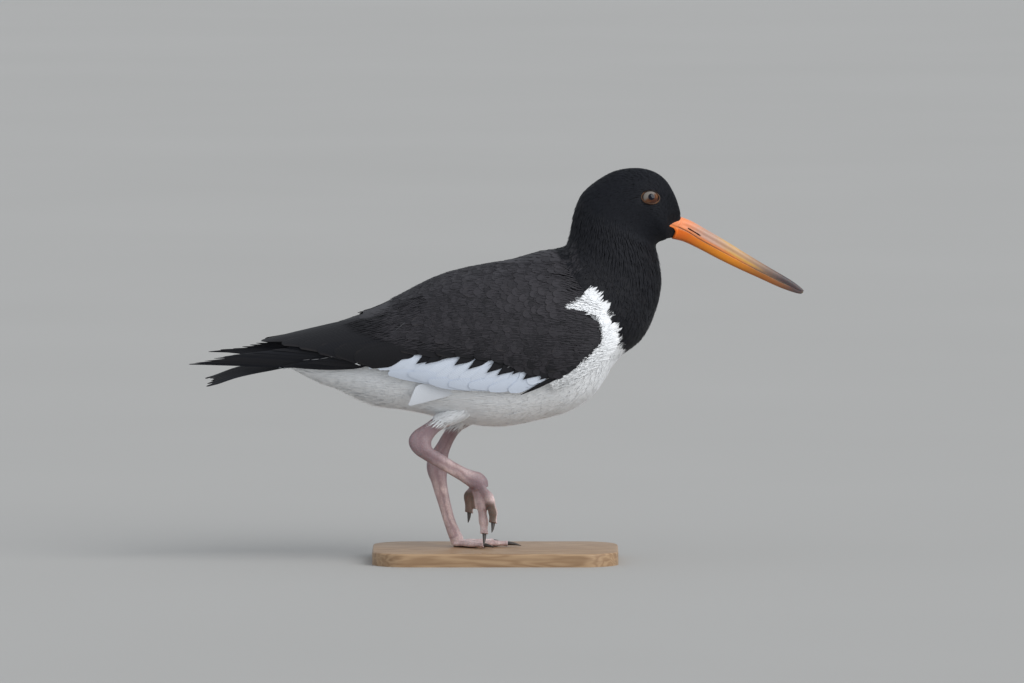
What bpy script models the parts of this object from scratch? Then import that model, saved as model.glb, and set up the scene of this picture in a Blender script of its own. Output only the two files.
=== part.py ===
"""An oystercatcher at life size, walking, with its left foot on the floor and its right foot lifted.

The bird faces +X, its right side is -Y and the floor is z = 0. Sizes are in millimetres until a point is placed.
The bird is built with its sole at z = 0 and is then lifted onto its stand, as it would fall over without one.
"""

import math

import bmesh
import bpy
from mathutils import Matrix, Vector

MM = 0.001
GAP = 0.3  # left between two pieces that touch
RIGHT, LEFT = -1, 1  # the sign of Y on each side of the bird

# Colours of the finishes, as red, green, blue, then the roughness.
FINISHES = {
    "black_plumage": ((0.016, 0.016, 0.019), 0.75),
    "white_plumage": ((0.78, 0.79, 0.82), 0.85),
    "bill_horn": ((0.86, 0.27, 0.05), 0.4),
    "eye_gloss": ((0.45, 0.06, 0.02), 0.08),
    "leg_skin": ((0.50, 0.31, 0.32), 0.6),
    "claw_horn": ((0.035, 0.03, 0.028), 0.45),
    "stand_wood": ((0.36, 0.24, 0.14), 0.5),
}

STAND_LENGTH, STAND_WIDTH, STAND_THICKNESS = 150.0, 94.0, 8.0
STAND_CORNER, STAND_EDGE = 22.0, 1.2

# The body from the tail's root to the bill's root. Each station is a flat ring given by its upper and lower
# points in the side view and by its half width: back x, back z, belly x, belly z, half width.
BODY = (
    (-120.9, 120.8, -124.0, 109.5, 12.0),
    (-105.7, 127.5, -108.1, 101.3, 19.0),
    (-88.6, 133.6, -89.8, 94.9, 25.5),
    (-67.3, 143.6, -67.9, 86.6, 32.0),
    (-45.9, 154.4, -45.9, 83.0, 37.0),
    (-21.5, 166.2, -21.5, 76.9, 40.0),
    (2.9, 174.0, 2.9, 74.4, 42.0),
    (27.3, 180.6, 28.5, 79.0, 42.0),
    (38.3, 182.7, 46.8, 84.8, 40.5),
    (42.5, 184.2, 61.5, 95.8, 38.5),
    (43.8, 186.0, 73.7, 114.7, 36.0),
    (44.7, 189.1, 89.0, 127.4, 32.5),
    (45.9, 193.4, 97.4, 144.0, 29.0),
    (46.8, 198.9, 101.1, 161.0, 26.0),
    (48.0, 204.3, 99.9, 174.5, 23.0),
    (49.3, 208.6, 97.8, 183.6, 20.8),
    (52.9, 216.5, 98.7, 186.0, 19.6),
    (62.1, 224.5, 100.5, 187.3, 19.0),
    (73.0, 230.3, 102.9, 187.9, 18.6),
    (85.2, 232.1, 104.8, 188.2, 18.2),
    (95.6, 230.3, 106.0, 188.5, 16.6),
    (103.5, 225.1, 106.9, 188.7, 13.4),
    (109.0, 216.5, 107.2, 188.8, 9.6),
    (112.1, 208.0, 107.5, 188.8, 6.6),
    (113.3, 202.2, 107.8, 188.8, 5.4),
)
BODY_END = len(BODY) - 1
TORSO_END = 12.35  # the station where the torso is parted from the neck
NECK_END = 15.6  # the station where the neck is parted from the head
BODY_SIDES = 28
TORSO_RINGS, NECK_RINGS, HEAD_RINGS = 22, 7, 17
SQUARENESS = 0.94  # under 1 a ring is a little fuller than an ellipse
BELLY_FULLNESS = 0.07  # how much wider a ring is below than above

# The bill: culmen x, z, gonys x, z, half width, and how far down the mouth line lies as a share of the depth.
BILL = (
    (113.3, 202.2, 107.8, 188.8, 4.9, 0.50),
    (120.0, 199.5, 115.1, 187.0, 4.5, 0.57),
    (128.6, 194.6, 124.3, 182.7, 4.1, 0.60),
    (140.1, 187.9, 135.9, 176.6, 3.7, 0.60),
    (152.3, 180.3, 148.4, 170.5, 3.2, 0.60),
    (164.5, 172.9, 161.2, 164.7, 2.5, 0.60),
    (175.5, 166.5, 171.9, 159.8, 1.9, 0.58),
    (182.2, 162.3, 179.8, 156.8, 1.5, 0.55),
    (187.2, 158.4, 186.2, 155.2, 1.0, 0.52),
)
BILL_SIDES = 14
NOSTRIL_LENGTH, NOSTRIL_HEIGHT, NOSTRIL_DEPTH = 8.0, 0.9, 1.6
NOSTRIL_STATION, NOSTRIL_SHARE = 1.25, 0.30

MOUTH_CORNER = (106.4, 197.7)  # the mouth line runs back into the head to here
MOUTH_LINE = 0.5

EYE_X, EYE_Z = 94.7, 215.2
EYE_RADIUS = 5.6
EYE_PROUD = 1.5  # how far the eyeball stands out of the head
LID_RING, LID_THICKNESS = 4.9, 0.75

# The side view is seen from a little above, so that the flanks look lower in it than they are.
VIEW_TILT = math.tan(math.radians(4.0))

# The outline of the back and folded wings seen along the bird:
# x, half width, height of the widest line, height above it, depth below it.
WING_SHAPE = (
    (66.0, 40.5, 127.0, 46.0, 48.0),
    (52.0, 45.0, 127.5, 51.0, 52.0),
    (39.5, 46.8, 128.1, 54.4, 54.0),
    (15.1, 48.6, 128.7, 51.0, 57.0),
    (-9.3, 48.8, 128.1, 47.8, 56.0),
    (-33.7, 46.6, 125.7, 43.6, 50.0),
    (-58.1, 42.2, 122.6, 34.6, 37.0),
    (-82.5, 36.0, 120.2, 25.2, 28.0),
    (-106.9, 28.5, 118.3, 18.6, 21.5),
    (-131.3, 21.0, 116.5, 13.6, 16.5),
    (-155.7, 14.6, 114.9, 9.8, 12.0),
    (-180.1, 9.6, 113.4, 5.6, 9.0),
    (-192.0, 7.6, 112.6, 4.0, 7.0),
)
# The core under the wing's feathers: x, angle of its upper edge from the midline in degrees, height of its lower edge.
WING_CORE = (
    (65.2, 82.0, 128.8),
    (62.0, 73.0, 121.5),
    (57.0, 67.0, 117.0),
    (50.0, 62.0, 111.0),
    (42.0, 57.0, 104.0),
    (30.0, 47.0, 98.5),
    (15.0, 37.0, 95.5),
    (0.0, 27.0, 97.0),
    (-15.0, 15.0, 99.0),
    (-30.0, 6.0, 101.0),
    (-50.0, 1.2, 106.0),
    (-75.0, 1.4, 109.5),
    (-100.0, 1.8, 112.0),
    (-126.0, 3.0, 114.0),
)
CORE_RINGS, CORE_STEPS = 14, 7
CORE_DEPTH = 1.8  # how far the core's outer face lies under the outline
CORE_THICKNESS, CORE_EDGE = 6.5, 0.9
WINGS_APART = 0.5  # each wing keeps this far from the midline of the back
LEFT_TIP_RISE, LEFT_TIP_SHORT = 7.3, 12.5  # the far wing's tip lies higher and further forward
TIP_START, TIP_END = -105.0, -185.0

# Each row of wing feathers, from the body outwards. Points are x, z in the side view. A row's first feather is
# the hindmost: count, first root, last root, first tip, last tip, bow of the tip line, width, bluntness of the tip,
# and how far the tip lies from the outline.
WING_ROWS = {
    "primary": (6, (-88, 114.2), (-72, 118.5), (-187.4, 112.0), (-142, 120.5), 0.0, 8.0, 0.07, -0.6),
    "secondary": (8, (-44, 117), (50, 107.5), (-77.5, 109.6), (16.5, 93.6), -5.0, 12.5, 0.45, 0.0),
    "tertial": (4, (-64, 140.5), (-56, 120), (-142.9, 127.0), (-100, 115.6), 2.0, 13.5, 0.22, 0.6),
    "greater_covert": (8, (-38, 126.0), (50, 117.5), (-67.0, 112.5), (28, 102.0), -0.5, 13.0, 0.5, 0.5),
    "median_covert": (7, (-34, 139), (50, 131), (-62.0, 125.0), (33, 115.5), -0.5, 14.0, 0.5, 0.8),
    "scapular": (5, (-36, 158), (34, 160), (-78.0, 140.5), (0, 151.0), 1.5, 16.0, 0.5, 1.2),
}
# One white inner feather hangs out of line under the wing, as the live bird shows it.
LOOSE_FEATHER = ((-26.0, 104.0), (-52.6, 87.2), 11.0, 0.42, 3.2)
ROOT_DEPTH = 3.4  # how deep a vane's root lies under the outline
VANE_ROOT_THICKNESS, VANE_THICKNESS, VANE_EDGE = 1.1, 0.75, 0.5
VANE_CAMBER = 0.3  # how much lower a vane's edges lie than its shaft

# The tail: a flat core and its feathers, which lie like a low roof.
TAIL_ROOT_X, TAIL_CORE_X = -119.0, -142.0
TAIL_RIDGE = ((-119.0, 114.6), (-138.0, 113.4), (-157.0, 110.4), (-178.0, 103.2))  # its midline: x, height
TAIL_COVERT = 5.0  # how high the short feathers over the tail's root stand
TAIL_HALF_ROOT, TAIL_HALF_TIP = 9.5, 17.0
TAIL_DROOP_ROOT, TAIL_DROOP_TIP = 2.0, 6.0
TAIL_TIPS = (-171.0, -168.5, -169.5, -172.5, -176.0, -178.0)  # from the middle feather to the outermost
TAIL_WIDTH, TAIL_THICKNESS, TAIL_BLUNT = 8.6, 0.6, 0.14
TAIL_CAMBER, TAIL_ROOF_POWER = 0.2, 1.6
TAIL_SLOTS = (0.08, 0.87)  # where the innermost and outermost feathers lie, from the midline to the edge
TAIL_ROOT_FAN = 0.62  # how far apart the roots lie, as a share of the tips
TAIL_TOP_LEVEL, TAIL_VANE_INSET = 0.6, 5.0
TAIL_STEP = 0.85  # how much lower each feather's tip lies than its inner neighbour's
TAIL_CORE_REACH, TAIL_CORE_DEPTH = (0.95, 0.75), (3.2, 1.2)

# Each leg from the belly to the toes: front x, z, back x, z, distance from the midline, half width across.
RIGHT_LEG = (
    (-24.6, 77.2, -37.4, 80.9, 20.0, 4.4),
    (-31.9, 74.1, -42.9, 77.1, 21.0, 3.6),
    (-36.1, 70.8, -49.6, 72.7, 22.0, 3.5),
    (-38.6, 67.1, -52.6, 68.0, 22.6, 3.9),
    (-38.9, 64.5, -52.0, 63.3, 22.8, 4.3),
    (-38.2, 62.5, -49.0, 59.2, 22.6, 4.3),
    (-36.1, 60.9, -44.1, 55.7, 21.8, 3.7),
    (-31.3, 58.0, -36.8, 51.3, 20.3, 3.1),
    (-24.6, 53.6, -29.4, 46.9, 18.0, 2.9),
    (-17.8, 49.8, -22.7, 42.8, 15.6, 2.9),
    (-13.0, 47.9, -17.8, 39.3, 13.6, 3.3),
    (-8.7, 46.5, -15.4, 37.3, 12.2, 3.8),
    (-5.0, 42.7, -14.4, 36.6, 11.4, 4.2),
    (-4.2, 38.2, -13.4, 35.6, 11.0, 3.9),
)
LEFT_LEG = (
    (-15.4, 73.2, -27.6, 75.6, 19.0, 4.6),
    (-20.9, 70.1, -30.0, 71.4, 17.8, 3.6),
    (-24.6, 65.3, -32.8, 67.1, 16.6, 3.4),
    (-27.3, 59.8, -36.1, 61.6, 15.4, 3.5),
    (-28.8, 54.9, -40.4, 55.5, 14.4, 4.2),
    (-29.1, 50.0, -42.0, 50.0, 13.6, 4.8),
    (-29.4, 45.1, -41.4, 44.5, 12.8, 4.5),
    (-29.7, 40.3, -39.2, 39.0, 12.0, 3.6),
    (-28.8, 33.5, -37.1, 32.3, 11.0, 3.0),
    (-27.0, 25.0, -34.3, 23.8, 9.6, 2.9),
    (-24.9, 17.1, -31.9, 15.9, 8.4, 3.0),
    (-21.5, 9.2, -29.4, 8.4, 7.2, 3.6),
    (-19.6, 5.2, -28.0, 4.6, 6.6, 4.1),
    (-20.6, 0.9, -26.6, 0.9, 6.4, 3.6),
)
LEG_SIDES = 12
SHANK_START, HEEL, ANKLE = 0.9, 5.0, 10.6  # stations where a leg is parted
# The feathered thigh: its girth at the cuff and at the top as multiples of the shank's, how much broader it is
# sideways, its height, and how far its top leans forward and up.
THIGH_GIRTH, THIGH_TOP_GIRTH, THIGH_BREADTH = 1.51, 2.59, 1.35
THIGH_HEIGHT, THIGH_LEAN, THIGH_RINGS = 24.0, (4.0, 0.0, 4.0), 7

# Toes: angle from the foot's own forward line (positive is inwards), length of each phalanx, claw length.
TOES = {
    "inner": (38.0, (12.5, 9.5), 6.5),
    "middle": (1.0, (13.0, 10.5, 8.0), 8.0),
    "outer": (-36.0, (11.0, 9.0, 7.0), 6.5),
}
TOE_HALF_WIDTH, TOE_HALF_HEIGHT, TOE_CENTRE = 3.0, 2.2, 1.9
TOE_TIP_SHARE = 0.66
CLAW_HALF_WIDTH, CLAW_HALF_HEIGHT = 1.15, 1.25
# How much of its angle each phalanx of a toe keeps, and how many degrees it bends towards the sole.
STANDING = ((1.0, 0.95, 0.9), (0.0, 0.0, 0.0))
LIFTED = ((1.15, 0.2, -0.1), (5.0, 7.0, 6.0))
LIFTED_YAW = 54.0  # how far the hanging foot is turned, so that its sole faces back and outwards
LIFTED_JOINT, LIFTED_DOWN = (-10.8, -11.4, 39.4), (0.26, 0.0, -1.0)
STANDING_CENTRE = (-23.9, 6.4, 0.0)


def place(x, y, z):
    """A point given in millimetres, in metres."""
    return Vector((x, y, z)) * MM


def along(stations, t):
    """The station at a fractional index, on a smooth curve through all of them."""
    i = min(max(int(t), 0), len(stations) - 2)
    s = t - i
    before, here = stations[max(i - 1, 0)], stations[i]
    after, beyond = stations[i + 1], stations[min(i + 2, len(stations) - 1)]
    mixed = []
    for a, b, c, d in zip(before, here, after, beyond):
        curve = (c - a) * s + (2 * a - 5 * b + 4 * c - d) * s**2 + (3 * b - a - 3 * c + d) * s**3
        mixed.append(b + curve / 2)
    return mixed


def at_x(stations, x):
    """The values of the station at x, for stations listed from front to back."""
    for i in range(len(stations) - 1):
        if x >= stations[i + 1][0] or i == len(stations) - 2:
            span = stations[i + 1][0] - stations[i][0]
            share = min(max((x - stations[i][0]) / span, 0.0), 1.0)
            return along(stations, i + share)[1:]


def blend(a, b, share):
    return a + (b - a) * share


def smooth(share):
    share = min(max(share, 0.0), 1.0)
    return share * share * (3 - 2 * share)


def rounded(value, power):
    return math.copysign(abs(value) ** power, value)


def finish(name):
    """The material of one finish."""
    material = bpy.data.materials.get(name)
    if material is None:
        colour, roughness = FINISHES[name]
        material = bpy.data.materials.new(name)
        material.use_nodes = True
        shader = material.node_tree.nodes["Principled BSDF"]
        shader.inputs["Base Color"].default_value = (*colour, 1.0)
        shader.inputs["Roughness"].default_value = roughness
    return material


def solid(name, mesh_data, material):
    """An object made from a bmesh, facing outwards."""
    bmesh.ops.recalc_face_normals(mesh_data, faces=mesh_data.faces)
    mesh = bpy.data.meshes.new(name)
    mesh_data.to_mesh(mesh)
    mesh_data.free()
    mesh.shade_smooth()
    mesh.set_sharp_from_angle(angle=math.radians(40))
    obj = bpy.data.objects.new(name, mesh)
    obj.data.materials.append(finish(material))
    bpy.context.scene.collection.objects.link(obj)
    return obj


def loft(name, rings, material):
    """A closed skin over a row of rings that have the same number of points, with flat ends."""
    shape = bmesh.new()
    loops = [[shape.verts.new(point) for point in ring] for ring in rings]
    for first, second in zip(loops, loops[1:]):
        for i in range(len(first)):
            j = (i + 1) % len(first)
            shape.faces.new((first[i], first[j], second[j], second[i]))
    shape.faces.new(loops[0][::-1])
    shape.faces.new(loops[-1])
    return solid(name, shape, material)


def apply_modifiers(obj):
    """Replaces the object's mesh with what its modifiers make of it."""
    bpy.context.view_layer.update()
    graph = bpy.context.evaluated_depsgraph_get()
    made = bpy.data.meshes.new_from_object(obj.evaluated_get(graph))
    obj.modifiers.clear()
    obj.data = made


def fuse(obj, pieces):
    """Joins closed pieces to obj, so that they become one closed body."""
    gathered = bpy.data.collections.new("pieces_of_" + obj.name)
    for piece in pieces:
        gathered.objects.link(piece)
    join = obj.modifiers.new("join", "BOOLEAN")
    join.operation = "UNION"
    join.solver = "MANIFOLD"
    join.operand_type = "COLLECTION"
    join.collection = gathered
    apply_modifiers(obj)
    for piece in pieces:
        bpy.data.objects.remove(piece)
    bpy.data.collections.remove(gathered)


def carve(obj, cutter):
    """Cuts one closed piece away from obj."""
    cut = obj.modifiers.new("cut", "BOOLEAN")
    cut.operation = "DIFFERENCE"
    cut.solver = "MANIFOLD"
    cut.object = cutter
    apply_modifiers(obj)
    bpy.data.objects.remove(cutter)


def keep_largest(obj):
    """Drops every surface of obj but the largest, such as a sealed hollow or a loose scrap."""
    shape = bmesh.new()
    shape.from_mesh(obj.data)
    left, islands = set(shape.verts), []
    while left:
        island, edge_of_island = set(), [left.pop()]
        while edge_of_island:
            vert = edge_of_island.pop()
            island.add(vert)
            for edge in vert.link_edges:
                other = edge.other_vert(vert)
                if other in left:
                    left.remove(other)
                    edge_of_island.append(other)
        islands.append(island)
    islands.sort(key=lambda island: sum(face.calc_area() for vert in island for face in vert.link_faces))
    for island in islands[:-1]:
        bmesh.ops.delete(shape, geom=list(island), context="VERTS")
    shape.to_mesh(obj.data)
    shape.free()


def body_ring(t, out=0.0, shift=0.0):
    """The body's ring at station t, grown by out and moved along its own axis by shift."""
    back_x, back_z, belly_x, belly_z, half = along(BODY, t)
    upper, lower = Vector((back_x, 0, back_z)), Vector((belly_x, 0, belly_z))
    rise = (upper - lower) / 2
    axis = Vector((rise.z, 0, -rise.x)).normalized()
    centre = (upper + lower) / 2 + axis * shift
    rise += rise.normalized() * out
    ring = []
    for i in range(BODY_SIDES):
        angle = 2 * math.pi * i / BODY_SIDES
        up, side = math.cos(angle), math.sin(angle)
        width = (half + out) * (1 - BELLY_FULLNESS * up)
        point = centre + rise * rounded(up, SQUARENESS)
        point.y = width * rounded(side, SQUARENESS)
        ring.append(point * MM)
    return ring


def body_rings(start, end, count, out=0.0):
    """Rings from one station to another. Where another piece follows, the end keeps half the gap."""
    rings = []
    for i in range(count + 1):
        t = blend(start, end, i / count)
        inset = GAP / 2 if i == 0 and start > 0 else -GAP / 2 if i == count and end < BODY_END else 0.0
        rings.append(body_ring(t, out, inset))
    return rings


def torso_space():
    """A cutter that is a little larger all round than the torso."""
    rings = body_rings(0, TORSO_END, TORSO_RINGS, GAP)
    rings[0] = body_ring(0, GAP, -GAP)
    return loft("torso_space", rings, "black_plumage")


def surface_y(x, z):
    """How far from the midline the head's surface lies at a point of the side view."""
    best = None
    for step in range(400):
        t = blend(NECK_END, BODY_END, step / 400)
        back_x, back_z, belly_x, belly_z, half = along(BODY, t)
        depth_x, depth_z = back_x - belly_x, back_z - belly_z
        length = math.hypot(depth_x, depth_z)
        off = abs((x - belly_x) * depth_z - (z - belly_z) * depth_x) / length
        level = ((x - belly_x) * depth_x + (z - belly_z) * depth_z) / length**2 * 2 - 1
        if abs(level) < 1 and (best is None or off < best[0]):
            up = rounded(level, 1 / SQUARENESS)
            side = math.sqrt(1 - up * up) ** SQUARENESS
            best = (off, half * (1 - BELLY_FULLNESS * up) * side)
    return best[1]


def eye_place(side):
    """The point of the head's surface at one eye, and the way out of the head there."""
    y = surface_y(EYE_X, EYE_Z)
    slope_x = (surface_y(EYE_X + 2, EYE_Z) - surface_y(EYE_X - 2, EYE_Z)) / 4
    slope_z = (surface_y(EYE_X, EYE_Z + 2) - surface_y(EYE_X, EYE_Z - 2)) / 4
    outward = Vector((-slope_x, side, -slope_z)).normalized()
    return Vector((EYE_X, side * y, EYE_Z)), outward


def ball(name, centre, radius, material, detail=14):
    shape = bmesh.new()
    bmesh.ops.create_uvsphere(shape, u_segments=detail, v_segments=detail // 2 + 2, radius=radius * MM)
    bmesh.ops.translate(shape, verts=shape.verts, vec=centre * MM)
    return solid(name, shape, material)


def lid_ring(name, centre, outward):
    """The raised rim of bare skin round one eye."""
    turn = outward.to_track_quat("Z", "Y")
    rings = []
    for i in range(20):
        angle = 2 * math.pi * i / 20
        spoke = Vector((math.cos(angle), math.sin(angle), 0))
        ring = []
        for j in range(8):
            around = 2 * math.pi * j / 8
            reach = LID_RING + LID_THICKNESS * math.cos(around)
            point = spoke * reach + Vector((0, 0, 1.4 * LID_THICKNESS * math.sin(around)))
            ring.append((centre + turn @ point) * MM)
        rings.append(ring)
    shape = bmesh.new()
    loops = [[shape.verts.new(point) for point in ring] for ring in rings]
    for i, first in enumerate(loops):
        second = loops[(i + 1) % len(loops)]
        for j in range(8):
            k = (j + 1) % 8
            shape.faces.new((first[j], first[k], second[k], second[j]))
    return solid(name, shape, "black_plumage")


def make_head_and_eyes():
    head = loft("head", body_rings(NECK_END, BODY_END, HEAD_RINGS), "black_plumage")
    for side, word in ((RIGHT, "right"), (LEFT, "left")):
        surface, outward = eye_place(side)
        centre = surface - outward * (EYE_RADIUS - EYE_PROUD)
        rim_height = math.sqrt(EYE_RADIUS**2 - LID_RING**2)
        fuse(head, [lid_ring("lid", centre + outward * (rim_height + 0.5), outward)])
        carve(head, ball("socket", centre, EYE_RADIUS + GAP + 0.1, "black_plumage"))
        ball("eye_" + word, centre, EYE_RADIUS, "eye_gloss")
    carve_mouth_line(head)
    keep_largest(head)


def carve_mouth_line(head):
    """A thin slot from the bill's mouth line back to the corner of the mouth."""
    culmen_x, culmen_z, gonys_x, gonys_z, _, share = BILL[0]
    front = Vector((blend(culmen_x, gonys_x, share), 0, blend(culmen_z, gonys_z, share)))
    corner = Vector((MOUTH_CORNER[0], 0, MOUTH_CORNER[1]))
    way = (front - corner).normalized()
    front = front + way
    up = Vector((-way.z, 0, way.x)) * MOUTH_LINE / 2
    rings = []
    for y in (-20, 20):
        ring = (corner - up * 0.2, front - up, front + up, corner + up * 0.2)
        rings.append([(point + Vector((0, y, 0))) * MM for point in ring])
    carve(head, loft("mouth_line", rings, "black_plumage"))


def bill_rings(upper):
    """Rings of one half of the bill, flat along the mouth line."""
    rings = []
    steps = 12
    for i in range(steps * 2 + 1):
        t = i / 2 * (len(BILL) - 1) / steps
        culmen_x, culmen_z, gonys_x, gonys_z, half, share = along(BILL, t)
        top, low = Vector((culmen_x, 0, culmen_z)), Vector((gonys_x, 0, gonys_z))
        rise = (top - low) / 2
        axis = Vector((rise.z, 0, -rise.x)).normalized()
        centre = (top + low) / 2 + (axis * GAP if i == 0 else Vector())
        level = 1 - 2 * share + (1 if upper else -1) * GAP / 2 / rise.length
        corner = math.acos(level)
        start, end = (-corner, corner) if upper else (corner, 2 * math.pi - corner)
        ring = []
        for j in range(BILL_SIDES // 2 + 1):
            angle = blend(start, end, j / (BILL_SIDES // 2))
            point = centre + rise * math.cos(angle)
            point.y = half * rounded(math.sin(angle), 0.85)
            ring.append(point * MM)
        rings.append(ring)
    return rings


def make_bill():
    upper = loft("bill_upper", bill_rings(True), "bill_horn")
    loft("bill_lower", bill_rings(False), "bill_horn")
    culmen_x, culmen_z, gonys_x, gonys_z, half, _ = along(BILL, NOSTRIL_STATION)
    ahead = along(BILL, NOSTRIL_STATION + 1)
    direction = Vector((ahead[0] - culmen_x, 0, ahead[1] - culmen_z)).normalized()
    x, z = blend(culmen_x, gonys_x, NOSTRIL_SHARE), blend(culmen_z, gonys_z, NOSTRIL_SHARE)
    turn = direction.to_track_quat("X", "Z").to_matrix().to_4x4()
    for side in (RIGHT, LEFT):
        shape = bmesh.new()
        bmesh.ops.create_uvsphere(shape, u_segments=12, v_segments=8, radius=0.5 * MM)
        size = Vector((NOSTRIL_LENGTH, 2 * NOSTRIL_DEPTH, NOSTRIL_HEIGHT))
        bmesh.ops.scale(shape, verts=shape.verts, vec=size)
        bmesh.ops.transform(shape, verts=shape.verts, matrix=turn)
        bmesh.ops.translate(shape, verts=shape.verts, vec=place(x, side * half * 0.93, z))
        carve(upper, solid("nostril", shape, "bill_horn"))
    keep_largest(upper)


def wing_point(x, angle, out, side):
    """A point of one folded wing: its x, its angle round the body from the back, and its height above the surface."""
    half, widest, above, below = at_x(WING_SHAPE, x)
    height = above if angle < math.pi / 2 else below
    y, z = half * math.sin(angle), height * math.cos(angle)
    normal = Vector((0, height * math.sin(angle), half * math.cos(angle))).normalized()
    y, z = y + normal.y * out, widest + z + normal.z * out
    y = max(y, WINGS_APART)
    if side == LEFT:
        share = smooth((x - TIP_START) / (TIP_END - TIP_START))
        x, z = x + LEFT_TIP_SHORT * share, z + LEFT_TIP_RISE * share
    return place(x, side * y, z)


def wing_angle(x, z):
    """The angle round the body of a point of the side view."""
    half, widest, above, below = at_x(WING_SHAPE, x)
    angle = math.pi / 2
    for _ in range(4):
        raised = z + VIEW_TILT * half * math.sin(angle) - widest
        height = above if raised > 0 else below
        angle = math.acos(min(max(raised / height, -0.999), 0.9995))
    return angle


def arc_per_radian(x, angle):
    half, _, above, below = at_x(WING_SHAPE, x)
    height = above if angle < math.pi / 2 else below
    return math.hypot(half * math.cos(angle), height * math.sin(angle))


def wing_core(name, side):
    rings = []
    front, rear = WING_CORE[0][0], WING_CORE[-1][0]
    for i in range(CORE_RINGS + 1):
        x = blend(front, rear, (i / CORE_RINGS) ** 1.2)
        upper_edge, low_z = at_x(WING_CORE, x)
        start, end = math.radians(upper_edge), wing_angle(x, low_z)
        outer, inner = [], []
        for j in range(CORE_STEPS + 1):
            share = j / CORE_STEPS
            angle = blend(start, end, share)
            bulge = math.sin(math.pi * share) ** 0.5
            depth = CORE_EDGE + CORE_THICKNESS * bulge * min(1.0, i / 3 + 0.1) * (1 - 0.6 * (i / CORE_RINGS) ** 2)
            outer.append(wing_point(x, angle, -CORE_DEPTH, side))
            inner.append(wing_point(x, angle, -CORE_DEPTH - depth, side))
        rings.append(outer + inner[::-1])
    return loft(name, rings, "black_plumage")


def vane_half_width(share, blunt):
    """A feather's half width along its length, as a share of its widest: narrow root, full middle, rounded tip."""
    root = 0.55 + 0.45 * smooth(share / 0.4)
    tip = max(1 - max(share - (1 - blunt * 0.9), 0) / (blunt * 0.9), 0.0) ** 0.5
    return root * max(tip, 0.16)


def thin_plate(name, rows, material):
    """A closed plate from rows of (outer, inner) pairs of points, cut into the same triangles on both faces."""
    shape = bmesh.new()
    outer = [[shape.verts.new(pair[0]) for pair in row] for row in rows]
    inner = [[shape.verts.new(pair[1]) for pair in row] for row in rows]
    across = len(rows[0])
    for i in range(len(rows) - 1):
        for j in range(across - 1):
            for sheet, turned in ((outer, False), (inner, True)):
                a, b, c, d = sheet[i][j], sheet[i][j + 1], sheet[i + 1][j + 1], sheet[i + 1][j]
                for corners in ((a, b, c), (a, c, d)):
                    shape.faces.new(corners[::-1] if turned else corners)
        for j in (0, across - 1):
            a, b, c, d = outer[i][j], outer[i + 1][j], inner[i + 1][j], inner[i][j]
            for corners in ((a, b, c), (a, c, d)):
                shape.faces.new(corners)
    for i in (0, len(rows) - 1):
        for j in range(across - 1):
            a, b, c, d = outer[i][j], outer[i][j + 1], inner[i][j + 1], inner[i][j]
            for corners in ((a, b, c), (a, c, d)):
                shape.faces.new(corners)
    return solid(name, shape, material)


def vane_shares(blunt):
    """Where along a feather its cross-sections lie, closer together at a rounded tip."""
    return [0.0, 0.45, 1 - blunt * 0.8, 1.0]


def wing_vane(root, tip, width, blunt, height, side):
    """One feather of a folded wing. It rises evenly from its root, so that it lies over the feathers behind it."""
    root_angle, tip_angle = wing_angle(*root), wing_angle(*tip)
    rows = []
    for share in vane_shares(blunt):
        x, angle = blend(root[0], tip[0], share), blend(root_angle, tip_angle, share)
        arc = arc_per_radian(x, angle)
        forward = Vector((tip[0] - root[0], (tip_angle - root_angle) * arc)).normalized()
        half = width / 2 * vane_half_width(share, blunt)
        out = blend(-ROOT_DEPTH, height, share)
        thick = blend(VANE_ROOT_THICKNESS, VANE_THICKNESS, share)
        row = []
        for across in (-1, 0, 1):
            side_x = x - forward.y * half * across
            side_angle = max(angle + forward.x * half * across / arc, 0.02)
            middle, thin = out - VANE_CAMBER * abs(across), blend(thick, VANE_EDGE, abs(across)) / 2
            top = wing_point(side_x, side_angle, middle + thin, side)
            row.append((top, wing_point(side_x, side_angle, middle - thin, side)))
        rows.append(row)
    return thin_plate("vane", rows, "black_plumage")


def wing_vanes(side):
    vanes = []
    for count, root_a, root_b, tip_a, tip_b, bow, width, blunt, height in WING_ROWS.values():
        for i in range(count):
            share = i / (count - 1)
            root = (blend(root_a[0], root_b[0], share), blend(root_a[1], root_b[1], share))
            tip_z = blend(tip_a[1], tip_b[1], share) + bow * math.sin(math.pi * share)
            tip = (blend(tip_a[0], tip_b[0], share), tip_z)
            vanes.append(wing_vane(root, tip, width, blunt, height, side))
    if side == RIGHT:
        vanes.append(wing_vane(*LOOSE_FEATHER, side))
    return vanes


def make_wing(name, side):
    wing = wing_core(name, side)
    fuse(wing, wing_vanes(side))
    carve(wing, torso_space())
    keep_largest(wing)


def tail_point(x, across, out):
    """A point of the tail's roof: across runs from -1 on the right edge to 1 on the left."""
    share = (x - TAIL_ROOT_X) / (TAIL_TIPS[-1] - TAIL_ROOT_X)
    half = blend(TAIL_HALF_ROOT, TAIL_HALF_TIP, share)
    droop = blend(TAIL_DROOP_ROOT, TAIL_DROOP_TIP, share)
    (ridge,) = at_x(TAIL_RIDGE, x)
    y, z = half * across, ridge - droop * abs(across) ** TAIL_ROOF_POWER
    slope = TAIL_ROOF_POWER * droop / half * abs(across) ** (TAIL_ROOF_POWER - 1)
    normal = Vector((0, math.copysign(slope, across), 1)).normalized()
    return place(x, y + normal.y * out, z + normal.z * out)


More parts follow.
